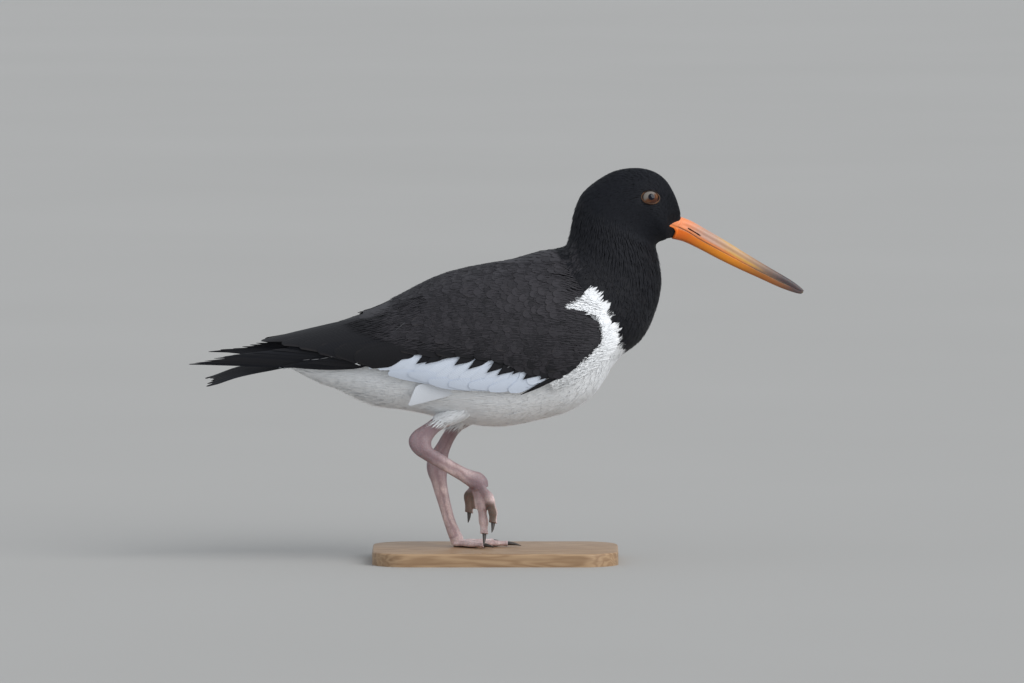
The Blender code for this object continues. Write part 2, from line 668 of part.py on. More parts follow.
def tail_vane(slot, side):
    """One tail feather, the middle pair first. Each lies a little under its inner neighbour."""
    across = side * blend(*TAIL_SLOTS, slot / (len(TAIL_TIPS) - 1))
    level = TAIL_TOP_LEVEL - TAIL_STEP * (slot + (0.5 if side == RIGHT else 0.0))
    root_level = -0.4 - 0.25 * slot
    rows = []
    for share in vane_shares(TAIL_BLUNT):
        x = blend(TAIL_ROOT_X - TAIL_VANE_INSET, TAIL_TIPS[slot], share)
        spread = (x - TAIL_ROOT_X) / (TAIL_TIPS[-1] - TAIL_ROOT_X)
        half_tail = blend(TAIL_HALF_ROOT, TAIL_HALF_TIP, spread)
        half = TAIL_WIDTH / 2 * vane_half_width(share, TAIL_BLUNT) / half_tail
        fanned = blend(TAIL_ROOT_FAN, 1.0, smooth(share * 2))
        row = []
        for edge in (-1, 0, 1):
            thin = blend(TAIL_THICKNESS, VANE_EDGE, abs(edge)) / 2
            out = blend(root_level, level, share) - TAIL_CAMBER * abs(edge)
            place_across = across * fanned + edge * half
            row.append((tail_point(x, place_across, out + thin), tail_point(x, place_across, out - thin)))
        rows.append(row)
    return thin_plate("vane", rows, "black_plumage")


def make_tail():
    rings = []
    for i in range(5):
        share = i / 4
        x = blend(TAIL_ROOT_X, TAIL_CORE_X, share)
        reach = blend(*TAIL_CORE_REACH, share)
        depth = blend(*TAIL_CORE_DEPTH, share)
        covert = blend(TAIL_COVERT, 0.3, share)
        top = [tail_point(x, blend(-reach, reach, j / 8), covert) for j in range(9)]
        low = [tail_point(x, blend(reach, -reach, j / 8), -depth) for j in range(9)]
        rings.append(top + low)
    tail = loft("tail", rings, "black_plumage")
    fuse(tail, [tail_vane(slot, side) for slot in range(len(TAIL_TIPS)) for side in (RIGHT, LEFT)])
    carve(tail, torso_space())
    keep_largest(tail)


def leg_ring(leg, t, side, girth=1.0, shift=0.0):
    """A leg's ring at station t. Positive shift moves it towards the toes."""
    front_x, front_z, back_x, back_z, off, half = along(leg, t)
    front, back = Vector((front_x, 0, front_z)), Vector((back_x, 0, back_z))
    depth = (front - back) / 2
    down = Vector((depth.z, 0, -depth.x)).normalized()
    centre = (front + back) / 2 + down * shift
    ring = []
    for i in range(LEG_SIDES):
        angle = 2 * math.pi * i / LEG_SIDES
        point = centre + depth * girth * math.cos(angle)
        point.y = side * off + half * girth * math.sin(angle)
        ring.append(point * MM)
    return ring


def leg_rings(leg, side, start, end, steps):
    rings = []
    for i in range(steps + 1):
        shift = GAP / 2 if i == 0 else -GAP / 2 if i == steps and end < len(leg) - 1 else 0.0
        rings.append(leg_ring(leg, blend(start, end, i / steps), side, 1.0, shift))
    return rings


def make_thigh(name, leg, side):
    """The feathered thigh, from inside the belly down to a cuff round the shank."""
    cuff = leg_ring(leg, SHANK_START, side, 1.0, -GAP / 2)
    middle = sum(cuff, Vector()) / len(cuff)
    above = sum(leg_ring(leg, 0.2, side), Vector()) / LEG_SIDES
    up = (above - middle).normalized()
    rings = []
    for i in range(THIGH_RINGS + 1):
        share = i / THIGH_RINGS
        girth = blend(THIGH_GIRTH, THIGH_TOP_GIRTH, share) if i else THIGH_GIRTH * 0.82
        rise = up * THIGH_HEIGHT * MM * share + place(*THIGH_LEAN) * share
        ring = []
        for point in cuff:
            spoke = point - middle
            spoke.y *= THIGH_BREADTH
            ring.append(middle + spoke * girth + rise)
        rings.append(ring)
    thigh = loft(name, rings, "white_plumage")
    carve(thigh, torso_space())
    keep_largest(thigh)


def toe_path(angle, lengths, pose):
    """Points and directions along a toe in the foot's own frame: x forward, y inwards, z up from the sole."""
    pitch, point = 0.0, Vector((0, 0, TOE_CENTRE))
    path = [(point, Vector((math.cos(angle), math.sin(angle), 0)))]
    for length, kept, curl in zip(lengths, *pose):
        pitch += math.radians(curl)
        heading = Vector((math.cos(angle * kept), math.sin(angle * kept), 0))
        way = heading * math.cos(pitch) - Vector((0, 0, 1)) * math.sin(pitch)
        path.append((point + way * length * 0.5, way))
        point = point + way * length
        path.append((point, way))
    return path, heading, pitch


def tapered(name, path, widths, heights, to_world, sides, material):
    """A limb along a path in the foot's own frame, with an upright oval section."""
    rings = []
    for (point, way), half, tall in zip(path, widths, heights):
        across = Vector((0, 0, 1)).cross(way).normalized()
        rise = way.cross(across).normalized()
        ring = []
        for i in range(sides):
            angle = 2 * math.pi * (i + 0.5) / sides
            corner = point + across * half * math.cos(angle) + rise * tall * math.sin(angle)
            ring.append(to_world(corner) * MM)
        rings.append(ring)
    return loft(name, rings, material)


def make_claw(name, end, length, heading, pitch, bend, to_world):
    """A curved claw that starts at the toe's end face."""
    point, way = end
    path = [(point + way * GAP, way)]
    for _ in range(3):
        pitch += math.radians(bend)
        step = heading * math.cos(pitch) - Vector((0, 0, 1)) * math.sin(pitch)
        path.append((path[-1][0] + step * length / 3, step))
    shares = (1.0, 0.85, 0.6, 0.22)
    widths = [CLAW_HALF_WIDTH * share for share in shares]
    heights = [CLAW_HALF_HEIGHT * share for share in shares]
    tapered(name, path, widths, heights, to_world, 8, "claw_horn")


def make_foot(word, leg, side, to_world, pose, claw_bend):
    foot = loft("foot_" + word, leg_rings(leg, side, ANKLE, len(leg) - 1, 8), "leg_skin")
    pieces = []
    for toe, (angle, lengths, claw) in TOES.items():
        path, heading, pitch = toe_path(math.radians(angle), lengths, pose)
        widths, heights = [], []
        for i in range(len(path)):
            girth = blend(1.0, TOE_TIP_SHARE, i / (len(path) - 1)) * (1.12 if i % 2 == 0 else 0.94)
            widths.append(TOE_HALF_WIDTH * girth)
            heights.append(TOE_HALF_HEIGHT * girth)
        pieces.append(tapered("toe", path, widths, heights, to_world, 10, "leg_skin"))
        make_claw(f"claw_{word}_{toe}", path[-1], claw, heading, pitch, claw_bend, to_world)
    fuse(foot, pieces)
    if side == LEFT:
        shape = bmesh.new()
        bmesh.ops.create_cube(shape, size=120 * MM)
        bmesh.ops.translate(shape, verts=shape.verts, vec=place(0, 0, -60.0))
        carve(foot, solid("floor", shape, "leg_skin"))
    keep_largest(foot)


def make_legs():
    standing_centre, joint = Vector(STANDING_CENTRE), Vector(LIFTED_JOINT)

    def on_floor(corner):
        """The standing foot lies flat and points forward; its inner side is to the bird's right."""
        return standing_centre + Vector((corner.x, -corner.y, corner.z))

    yaw = math.radians(LIFTED_YAW)
    dorsal = Vector((math.cos(yaw), math.sin(yaw), 0))
    inward = Vector((-math.sin(yaw), math.cos(yaw), 0))
    down = Vector(LIFTED_DOWN).normalized()

    def hanging(corner):
        """The lifted foot hangs: its forward line points down and its sole faces back and outwards."""
        return joint + down * corner.x + inward * corner.y + dorsal * (corner.z - TOE_CENTRE)

    for word, leg, side in (("right", RIGHT_LEG, RIGHT), ("left", LEFT_LEG, LEFT)):
        make_thigh("thigh_" + word, leg, side)
        loft("shank_" + word, leg_rings(leg, side, SHANK_START, HEEL, 9), "leg_skin")
        loft("tarsus_" + word, leg_rings(leg, side, HEEL, ANKLE, 10), "leg_skin")
    make_foot("right", RIGHT_LEG, RIGHT, hanging, LIFTED, 6.0)
    make_foot("left", LEFT_LEG, LEFT, on_floor, STANDING, 5.0)


def make_stand():
    """A flat base with rounded corners and a softened upper edge."""
    rings = []
    for level, inset in ((0.0, 0.0), (STAND_THICKNESS - STAND_EDGE, 0.0), (STAND_THICKNESS, STAND_EDGE)):
        ring = []
        for quarter in range(4):
            sign_x, sign_y = ((1, 1), (-1, 1), (-1, -1), (1, -1))[quarter]
            for i in range(7):
                angle = math.radians(90 * quarter + 15 * i)
                x = sign_x * (STAND_LENGTH / 2 - STAND_CORNER) + (STAND_CORNER - inset) * math.cos(angle)
                y = sign_y * (STAND_WIDTH / 2 - STAND_CORNER) + (STAND_CORNER - inset) * math.sin(angle)
                ring.append(place(x, y, level))
        rings.append(ring)
    loft("stand_base", rings, "stand_wood")


def main():
    for obj in list(bpy.data.objects):
        bpy.data.objects.remove(obj)
    loft("torso", body_rings(0, TORSO_END, TORSO_RINGS), "black_plumage")
    loft("neck", body_rings(TORSO_END, NECK_END, NECK_RINGS), "black_plumage")
    make_head_and_eyes()
    make_bill()
    make_wing("wing_right", RIGHT)
    make_wing("wing_left", LEFT)
    make_tail()
    make_legs()
    lift = Matrix.Translation((0, 0, (STAND_THICKNESS + GAP) * MM))
    for obj in bpy.context.scene.collection.objects:
        obj.data.transform(lift)
    make_stand()


main()
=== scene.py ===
# %% [markdown]
# # An oystercatcher, feather by feather
# This script dresses the solid model of a wading bird as a museum would show it: walking, one foot lifted.
# The solids give every size. Here one smooth skin goes just inside them, and thousands of small closed feathers
# are laid on it like roof tiles, each with its root sunk in the skin and its tip at the surface of the solid.
# All work is in millimetres, in the bird's own frame: it faces +X, its right side is -Y and its sole is z = 0.

import math

import bmesh
import bpy
import numpy as np
from mathutils import Matrix, Vector


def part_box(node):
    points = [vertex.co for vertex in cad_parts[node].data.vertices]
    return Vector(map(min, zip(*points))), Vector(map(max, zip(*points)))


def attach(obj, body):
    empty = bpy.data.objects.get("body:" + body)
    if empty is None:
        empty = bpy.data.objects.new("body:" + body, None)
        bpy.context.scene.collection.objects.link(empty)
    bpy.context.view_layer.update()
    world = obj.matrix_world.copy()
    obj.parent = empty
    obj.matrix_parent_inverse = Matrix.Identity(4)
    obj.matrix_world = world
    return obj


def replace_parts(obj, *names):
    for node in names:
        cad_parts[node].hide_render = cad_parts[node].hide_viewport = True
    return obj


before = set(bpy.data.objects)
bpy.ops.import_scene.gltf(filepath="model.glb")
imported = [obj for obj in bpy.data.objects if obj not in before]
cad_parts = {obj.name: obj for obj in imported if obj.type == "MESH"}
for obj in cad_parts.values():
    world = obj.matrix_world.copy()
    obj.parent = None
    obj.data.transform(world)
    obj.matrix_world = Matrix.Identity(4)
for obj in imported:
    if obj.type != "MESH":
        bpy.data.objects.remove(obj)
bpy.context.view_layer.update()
MM = 0.001
RIGHT, LEFT = -1, 1
SOLE_HEIGHT = 8.3  # the sole lies this far above the floor, on the base
draw = np.random.default_rng(20)
print("solids:", len(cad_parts), "nodes")

# %% [markdown]
# ## Reading smooth values from a few stations
# The solids are drawn through a short list of stations. The same stations are used here, so that the skin and
# the feathers follow them exactly. A smooth curve runs through the stations, and past either end it goes
# straight on, so that a feather may hang over the edge. Markings and wing feathers are given in the side
# view, which is seen from four degrees above: there the flanks look a little lower than they are.

# %% Values along stations
VIEW_TILT = math.tan(math.radians(4.0))


def side_view(points):
    """The x and the height at which points appear in the side view."""
    return points[..., 0], points[..., 2] - VIEW_TILT * np.abs(points[..., 1])


def along(stations, t):
    """The values at fractional station numbers, for an array of them."""
    table = np.asarray(stations, float)
    last = len(table) - 1
    inside = np.clip(t, 0, last)
    i = np.clip(inside.astype(int), 0, last - 1)
    s = (inside - i)[..., None]
    a, b = table[np.maximum(i - 1, 0)], table[i]
    c, d = table[i + 1], table[np.minimum(i + 2, last)]
    curve = (c - a) * s + (2 * a - 5 * b + 4 * c - d) * s**2 + (3 * b - a - 3 * c + d) * s**3
    step = table[np.minimum(i + 1, last)] - table[i]
    return b + curve / 2 + step * (t - inside)[..., None]


def at_x(stations, x):
    """The values at x, for stations listed from front to back."""
    table = np.asarray(stations, float)
    places = np.interp(-np.asarray(x, float), -table[:, 0], np.arange(len(table)))
    return along(table[:, 1:], places)


def parts_of(values):
    return np.moveaxis(values, -1, 0)


def smooth(share):
    share = np.clip(share, 0, 1)
    return share * share * (3 - 2 * share)


def rounded(value, power):
    return np.sign(value) * np.abs(value) ** power


def unit(vectors):
    return vectors / np.maximum(np.linalg.norm(vectors, axis=-1, keepdims=True), 1e-9)


def blend(a, b, share):
    return a + (b - a) * share


print("half way between 2 and 4:", along(((2,), (4,)), np.array([0.5]))[0])

# %% [markdown]
# ## The body's surface
# One long smooth form runs from the root of the tail to the root of the bill. Each station is a flat ring:
# the point on the back, the point on the belly, and the half width. A place on it is told by its station and
# its angle, from 0 on the back, round the bird's left side, to a full turn.

# %% Body stations
BODY = (
    (-120.9, 120.8, -124.0, 109.5, 12.0),
    (-105.7, 127.5, -108.1, 101.3, 19.0),
    (-88.6, 133.6, -89.8, 94.9, 25.5),
    (-67.3, 143.6, -67.9, 86.6, 32.0),
    (-45.9, 154.4, -45.9, 83.0, 37.0),
    (-21.5, 166.2, -21.5, 76.9, 40.0),
    (2.9, 174.0, 2.9, 74.4, 42.0),
    (27.3, 180.6, 28.5, 79.0, 42.0),
    (38.3, 182.7, 46.8, 84.8, 40.5),
    (42.5, 184.2, 61.5, 95.8, 38.5),
    (43.8, 186.0, 73.7, 114.7, 36.0),
    (44.7, 189.1, 89.0, 127.4, 32.5),
    (45.9, 193.4, 97.4, 144.0, 29.0),
    (46.8, 198.9, 101.1, 161.0, 26.0),
    (48.0, 204.3, 99.9, 174.5, 23.0),
    (49.3, 208.6, 97.8, 183.6, 20.8),
    (52.9, 216.5, 98.7, 186.0, 19.6),
    (62.1, 224.5, 100.5, 187.3, 19.0),
    (73.0, 230.3, 102.9, 187.9, 18.6),
    (85.2, 232.1, 104.8, 188.2, 18.2),
    (95.6, 230.3, 106.0, 188.5, 16.6),
    (103.5, 225.1, 106.9, 188.7, 13.4),
    (109.0, 216.5, 107.2, 188.8, 9.6),
    (112.1, 208.0, 107.5, 188.8, 6.6),
    (113.3, 202.2, 107.8, 188.8, 5.4),
)
BODY_END = len(BODY) - 1
SQUARENESS, BELLY_FULLNESS = 0.94, 0.07


def body_place(t, angle, out=0.0):
    """Points of the body, grown by out."""
    back_x, back_z, belly_x, belly_z, half = parts_of(along(BODY, t))
    rise_x, rise_z = (back_x - belly_x) / 2, (back_z - belly_z) / 2
    grown = 1 + out / np.hypot(rise_x, rise_z)
    up, side = rounded(np.cos(angle), SQUARENESS), rounded(np.sin(angle), SQUARENESS)
    x = (back_x + belly_x) / 2 + rise_x * grown * up
    z = (back_z + belly_z) / 2 + rise_z * grown * up
    return np.stack([x, (half + out) * (1 - BELLY_FULLNESS * up) * side, z], -1)


# %% [markdown]
# ## The folded wings and the tail
# Seen along the bird, the back and the folded wings have one outline, an oval that changes from shoulder to
# tip. A place on it is told by its x and its angle from the midline of the back. The far wing's tip lies
# higher and further forward than the near one's, as the walking bird shows it. The tail is a low roof.

# %% Wing and tail surfaces
WING_SHAPE = (
    (66.0, 40.5, 127.0, 46.0, 48.0),
    (52.0, 45.0, 127.5, 51.0, 52.0),
    (39.5, 46.8, 128.1, 54.4, 54.0),
    (15.1, 48.6, 128.7, 51.0, 57.0),
    (-9.3, 48.8, 128.1, 47.8, 56.0),
    (-33.7, 46.6, 125.7, 43.6, 50.0),
    (-58.1, 42.2, 122.6, 34.6, 37.0),
    (-82.5, 36.0, 120.2, 24.8, 28.0),
    (-106.9, 28.5, 118.3, 18.6, 21.5),
    (-131.3, 21.0, 116.5, 13.6, 16.5),
    (-155.7, 14.6, 114.9, 9.8, 12.0),
    (-180.1, 9.6, 113.4, 5.6, 9.0),
    (-192.0, 7.6, 112.6, 4.0, 7.0),
)
WINGS_APART = 0.5
# How much lower the feathers lie on the midline of the back: x, depth.
BACK_CUT = (
    (66.0, 0.0), (40.0, 0.0), (27.0, 0.3), (15.0, 1.9), (3.0, 3.2), (-15.0, 3.0),
    (-50.0, 2.5), (-66.0, 2.6), (-76.0, 1.6), (-84.0, 0.0), (-192.0, 0.0),
)
CUT_FROM, CUT_OVER = 0.25, 0.65  # radians from the midline
LEFT_TIP_RISE, LEFT_TIP_SHORT = 7.3, 12.5
TIP_START, TIP_END = -105.0, -185.0
TAIL_ROOT_X, TAIL_TIP_X = -119.0, -178.0
TAIL_RIDGE = ((-119.0, 114.6), (-138.0, 113.4), (-157.0, 110.4), (-178.0, 103.2))
TAIL_HALF_ROOT, TAIL_HALF_TIP = 9.5, 17.0
TAIL_DROOP_ROOT, TAIL_DROOP_TIP, TAIL_ROOF_POWER = 2.0, 6.0, 1.6


def wing_surface(side):
    def place(x, angle):
        half, widest, above, below = parts_of(at_x(WING_SHAPE, x))
        height = np.where(angle < math.pi / 2, above, below)
        y = np.maximum(half * np.sin(angle), WINGS_APART)
        cut = at_x(BACK_CUT, x)[..., 0] * (1 - smooth((angle - CUT_FROM) / CUT_OVER))
        z = widest + height * np.cos(angle) - np.maximum(cut, 0.0)
        share = smooth((x - TIP_START) / (TIP_END - TIP_START)) if side == LEFT else 0.0
        return np.stack([x + LEFT_TIP_SHORT * share, side * y, z + LEFT_TIP_RISE * share], -1)

    return place


def wing_angle(x, z):
    """The angle round the body of a point of the side view."""
    half, widest, above, below = parts_of(at_x(WING_SHAPE, x))
    angle = np.full(np.shape(half), math.pi / 2)
    for _ in range(4):
        raised = z + VIEW_TILT * half * np.sin(angle) - widest
        angle = np.arccos(np.clip(raised / np.where(raised > 0, above, below), -0.999, 0.9995))
    return angle


def tail_place(x, across):
    share = (x - TAIL_ROOT_X) / (TAIL_TIP_X - TAIL_ROOT_X)
    half = blend(TAIL_HALF_ROOT, TAIL_HALF_TIP, share)
    droop = blend(TAIL_DROOP_ROOT, TAIL_DROOP_TIP, share)
    ridge = at_x(TAIL_RIDGE, x)[..., 0]
    return np.stack([x, half * across, ridge - droop * np.abs(across) ** TAIL_ROOF_POWER], -1)


class Sheet:
    """A surface to lay feathers on. Its first coordinate runs against the lie of the feathers."""

    def __init__(self, place, steps, turn=1):
        self.place, self.steps, self.turn = place, steps, turn

    def frame(self, u, v):
        """Points, both directions with their lengths for one unit of each coordinate, and normals."""
        du, dv = self.steps
        lengthways = (self.place(u + du, v) - self.place(u - du, v)) / (2 * du)
        sideways = (self.place(u, v + dv) - self.place(u, v - dv)) / (2 * dv)
        normal = unit(np.cross(lengthways, sideways)) * self.turn
        return self.place(u, v), lengthways, sideways, normal


body = Sheet(body_place, (0.03, 0.01))
wings = {side: Sheet(wing_surface(side), (0.4, 0.006), side) for side in (RIGHT, LEFT)}
tail = Sheet(tail_place, (0.4, 0.01))
print("half width of the breast:", float(body_place(np.array(7.0), np.array(math.pi / 2))[1]))

# %% [markdown]
# ## Markings
# The pattern is black above and white below. Its edges are short lines in the side view, the same on both
# sides, and skin and feathers ask the same function, so that they never disagree. A feather takes its colour
# where its tip lies, which is why the edges come out as rows of points, as on the real bird.

# %% Where the body is white
WHITE_EDGE = (
    (42.5, 147.0), (46.8, 150.7), (49.9, 149.4), (51.7, 153.7), (56.0, 158.0), (61.5, 159.8),
    (62.9, 156.2), (66.3, 151.3), (69.1, 151.0), (69.4, 143.3), (71.8, 136.0), (73.0, 140.3),
    (74.9, 133.0), (76.1, 123.8), (80.0, 119.8), (95.0, 116.0), (95.0, 50.0), (-135.0, 50.0),
    (-135.0, 140.0), (-70.0, 140.0), (-60.0, 118.0), (40.0, 118.0), (56.0, 136.0), (54.0, 144.0),
)


def inside(outline, x, z):
    """True where points of the side view lie inside a closed outline."""
    found = np.zeros(np.shape(x), bool)
    for (ax, az), (bx, bz) in zip(outline, outline[1:] + outline[:1]):
        if az != bz:
            crosses = (az > z) != (bz > z)
            found ^= crosses & (x < (bx - ax) * (z - az) / (bz - az) + ax)
    return found


def whiteness(points):
    return inside(WHITE_EDGE, *side_view(points)).astype(float)


print("belly and crown:", whiteness(np.array([[0.0, 0, 80], [80, 0, 230]])))

# %% [markdown]
# ## Finishes as expressions
# A material is a chain of small nodes. Writing it as sums and products is easier to read than wiring, so a
# socket is wrapped in a small class whose operators add Math nodes. Colours go through Mix nodes, because
# a Math node would turn them grey.

# %% Shader expressions
class Wire:
    """The output of a node, with the usual operators."""

    def __init__(self, finish, socket):
        self.finish, self.socket = finish, socket

    def _math(self, operation, first, second=0.0):
        return self.finish.node("ShaderNodeMath", {"operation": operation}, {0: first, 1: second})

    def __add__(self, other):
        return self._math("ADD", self, other)

    def __sub__(self, other):
        return self._math("SUBTRACT", self, other)

    def __mul__(self, other):
        return self._math("MULTIPLY", self, other)

    def __pow__(self, other):
        return self._math("POWER", self, other)

    def __rsub__(self, other):
        return self._math("SUBTRACT", other, self)

    def __lt__(self, other):
        return self._math("LESS_THAN", self, other)

    def __gt__(self, other):
        return self._math("GREATER_THAN", self, other)

    __radd__ = __add__
    __rmul__ = __mul__

    def absolute(self):
        return self._math("ABSOLUTE", self)

    def sine(self):
        return self._math("SINE", self)

    def ramp(self, low, high):
        """0 below low, 1 above high, and smooth between."""
        values = {"Value": self, "From Min": low, "From Max": high}
        return self.finish.node("ShaderNodeMapRange", {"interpolation_type": "SMOOTHSTEP"}, values)


class Finish:
    """A material with one Principled shader, and short ways to add nodes to it."""

    def __init__(self, name, roughness=0.6, **fixed):
        self.material = bpy.data.materials.new(name)
        self.material.use_nodes = True
        self.tree = self.material.node_tree
        self.shader = self.tree.nodes["Principled BSDF"]
        self.shader.inputs["Roughness"].default_value = roughness
        for socket, value in fixed.items():
            self.shader.inputs[socket.replace("_", " ")].default_value = value

    def node(self, kind, settings, inputs, output=0):
        made = self.tree.nodes.new(kind)
        for name, value in settings.items():
            setattr(made, name, value)
        for socket, value in inputs.items():
            if isinstance(value, Wire):
                self.tree.links.new(value.socket, made.inputs[socket])
            else:
                made.inputs[socket].default_value = value
        return Wire(self, made.outputs[output])

    def attribute(self, name):
        """The three numbers of a piece's own attribute."""
        vector = self.node("ShaderNodeAttribute", {"attribute_name": name}, {}, "Vector")
        split = self.node("ShaderNodeSeparateXYZ", {}, {0: vector})
        outputs = split.socket.node.outputs
        return [Wire(self, outputs[i]) for i in range(3)]

    def place(self, *scale):
        """Object coordinates, stretched."""
        where = self.node("ShaderNodeTexCoord", {}, {}, "Object")
        return self.node("ShaderNodeMapping", {}, {"Vector": where, "Scale": scale})

    def noise(self, where, scale, detail=2.0):
        values = {"Vector": where, "Scale": scale, "Detail": detail}
        return self.node("ShaderNodeTexNoise", {}, values)

    def mix(self, share, first, second):
        """From the first colour to the second."""
        ready = []
        for colour in (first, second):
            ready.append(colour if isinstance(colour, Wire) else (*colour, 1.0))
        return self.node("ShaderNodeMix", {"data_type": "RGBA"}, {0: share, 6: ready[0], 7: ready[1]}, 2)

    def brighten(self, colour, factor):
        """A colour times a number."""
        values = {0: 1.0, 6: colour, 7: factor}
        return self.node("ShaderNodeMix", {"data_type": "RGBA", "blend_type": "MULTIPLY"}, values, 2)

    def bump(self, height, strength, distance):
        values = {"Height": height, "Strength": strength, "Distance": distance}
        return self.node("ShaderNodeBump", {}, values)

    def set(self, **inputs):
        for socket, wire in inputs.items():
            self.tree.links.new(wire.socket, self.shader.inputs[socket.replace("_", " ")])
        return self.material


print("finish helpers ready")

# %% [markdown]
# ## Plumage
# Every feather carries two attributes. The first says where on the feather a point is: across its vane,
# along it, and one random number for the whole feather. The second says its markings: white or black, how
# brown, and how pale its worn edge is. Black feathers of the head are blue-black, the blue a painted sheen,
# those of the back browner, and for white feathers the second number paints them darker and bluish, as
# painted shade under the sky, which is how the smooth feathers of the wing bar look.

# %% The plumage finish
# The blue of the head's black is a painted sheen, the bluish gloss of the sky on the hood.
BLACK_WITH_BLUE_SHEEN, COAL, BROWN_BLACK = (0.0046, 0.0055, 0.0090), (0.0105, 0.0103, 0.0122), (0.0345, 0.0322, 0.0368)
WORN_EDGE = (0.070, 0.058, 0.050)
# The bluish white is painted shade: white feathers of the wing bar made darker and bluish, as in shade under the sky.
WHITE, SHADED_WHITE, BLUE_SHADE_WHITE = (0.93, 0.94, 0.95), (0.86, 0.865, 0.87), (0.67, 0.75, 0.89)


def plumage():
    finish = Finish("plumage", roughness=0.7, Specular_IOR_Level=0.22, Sheen_Weight=0.04, Sheen_Roughness=0.5)
    across, length, chance = finish.attribute("vane")
    white, brown, worn = finish.attribute("marking")
    grain = finish.noise(finish.place(1, 1, 1), 260.0, 3.0)
    black = finish.mix(brown.ramp(0.0, 0.5), BLACK_WITH_BLUE_SHEEN, COAL)
    black = finish.mix(brown.ramp(0.5, 1.0), black, BROWN_BLACK)
    edge = (across.absolute() + length.ramp(0.75, 1.0) * 0.6).ramp(0.8, 1.25)
    black = finish.mix(edge * worn, black, WORN_EDGE)
    black = finish.brighten(black, 0.88 + chance * 0.10 + grain * 0.28)
    # Painted shade: white feathers are greyer towards their roots, under the feathers that overlap them.
    pale = finish.mix(length.ramp(0.0, 0.6) * 0.8 + chance * 0.2, SHADED_WHITE, WHITE)
    # For white feathers the second number paints in this bluish shade.
    pale = finish.mix(brown, pale, BLUE_SHADE_WHITE)
    pale = finish.brighten(pale, 0.93 + chance * 0.04 + grain * 0.06)
    barbs = (length * 150.0 - across.absolute() * 22.0).sine()
    return finish.set(
        Base_Color=finish.mix(white, black, pale),
        Roughness=0.62 + grain * 0.16,
        Normal=finish.bump(barbs, 0.12, 0.0002),
    )


PLUMAGE = plumage()
print("plumage nodes:", len(PLUMAGE.node_tree.nodes))

# %% [markdown]
# ## Making meshes
# Two helpers make almost every piece. The first takes a flat grid and wraps it round a surface, which gives
# skins, the bill and the legs. The second joins many copies of one small form, made once with mesh
# operators, into a single mesh from arrays, which is how tens of thousands of feathers stay quick.

# %% Wrapping a grid, joining copies
def in_scene(points):
    """Millimetres in the bird's frame to metres in the scene."""
    return (np.asarray(points, float) + (0, 0, SOLE_HEIGHT)) * MM


def show(name, mesh, material, smoothed=True):
    """Puts a finished mesh into the scene as a piece of the model."""
    mesh.materials.append(material)
    if smoothed:
        mesh.shade_smooth()
    obj = bpy.data.objects.new(name, mesh)
    bpy.context.scene.collection.objects.link(obj)
    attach(obj, "root")
    return obj


def wrapped(rows, around, place, closed=True):
    """A grid wrapped round a surface: place takes the share along it and the share round it."""
    shape = bmesh.new()
    bmesh.ops.create_grid(shape, x_segments=rows, y_segments=around, size=1.0)
    flat = np.array([vert.co[:2] for vert in shape.verts])
    flat = (flat - flat.min(0)) / (flat.max(0) - flat.min(0))
    for vert, point in zip(shape.verts, in_scene(place(flat[:, 0], flat[:, 1]))):
        vert.co = point
    if closed:
        bmesh.ops.remove_doubles(shape, verts=shape.verts, dist=1e-6)
        ends = [edge for edge in shape.edges if edge.is_boundary]
        if ends:
            bmesh.ops.holes_fill(shape, edges=ends, sides=0)
    bmesh.ops.recalc_face_normals(shape, faces=shape.faces)
    return shape


def to_mesh(name, *shapes):
    """One mesh from several bmeshes."""
    mesh = bpy.data.meshes.new(name)
    whole = bmesh.new()
    for shape in shapes:
        shape.to_mesh(mesh)
        whole.from_mesh(mesh)
        shape.free()
    whole.to_mesh(mesh)
    whole.free()
    return mesh


def remesh(mesh, voxel, rounds):
    """Fuses overlapping closed forms into one even skin, then smooths it."""
    obj = bpy.data.objects.new("block", mesh)
    bpy.context.scene.collection.objects.link(obj)
    fused = obj.modifiers.new("fuse", "REMESH")
    fused.mode, fused.voxel_size = "VOXEL", voxel * MM
    softened = obj.modifiers.new("soften", "SMOOTH")
    softened.factor, softened.iterations = 0.5, rounds
    bpy.context.view_layer.update()
    made = bpy.data.meshes.new_from_object(obj.evaluated_get(bpy.context.evaluated_depsgraph_get()))
    bpy.data.objects.remove(obj)
    return made


def points_of(mesh):
    """The mesh's points in the bird's frame, in millimetres."""
    points = np.zeros(len(mesh.vertices) * 3, np.float32)
    mesh.vertices.foreach_get("co", points)
    return points.reshape(-1, 3).astype(float) / MM - (0, 0, SOLE_HEIGHT)


def normals_of(mesh):
    normals = np.zeros(len(mesh.vertices) * 3, np.float32)
    mesh.vertex_normals.foreach_get("vector", normals)
    return normals.reshape(-1, 3).astype(float)


def note(mesh, name, values):
    """Writes three numbers for each point."""
    store = mesh.attributes.new(name, "FLOAT_VECTOR", "POINT")
    store.data.foreach_set("vector", np.ascontiguousarray(values, np.float32).ravel())


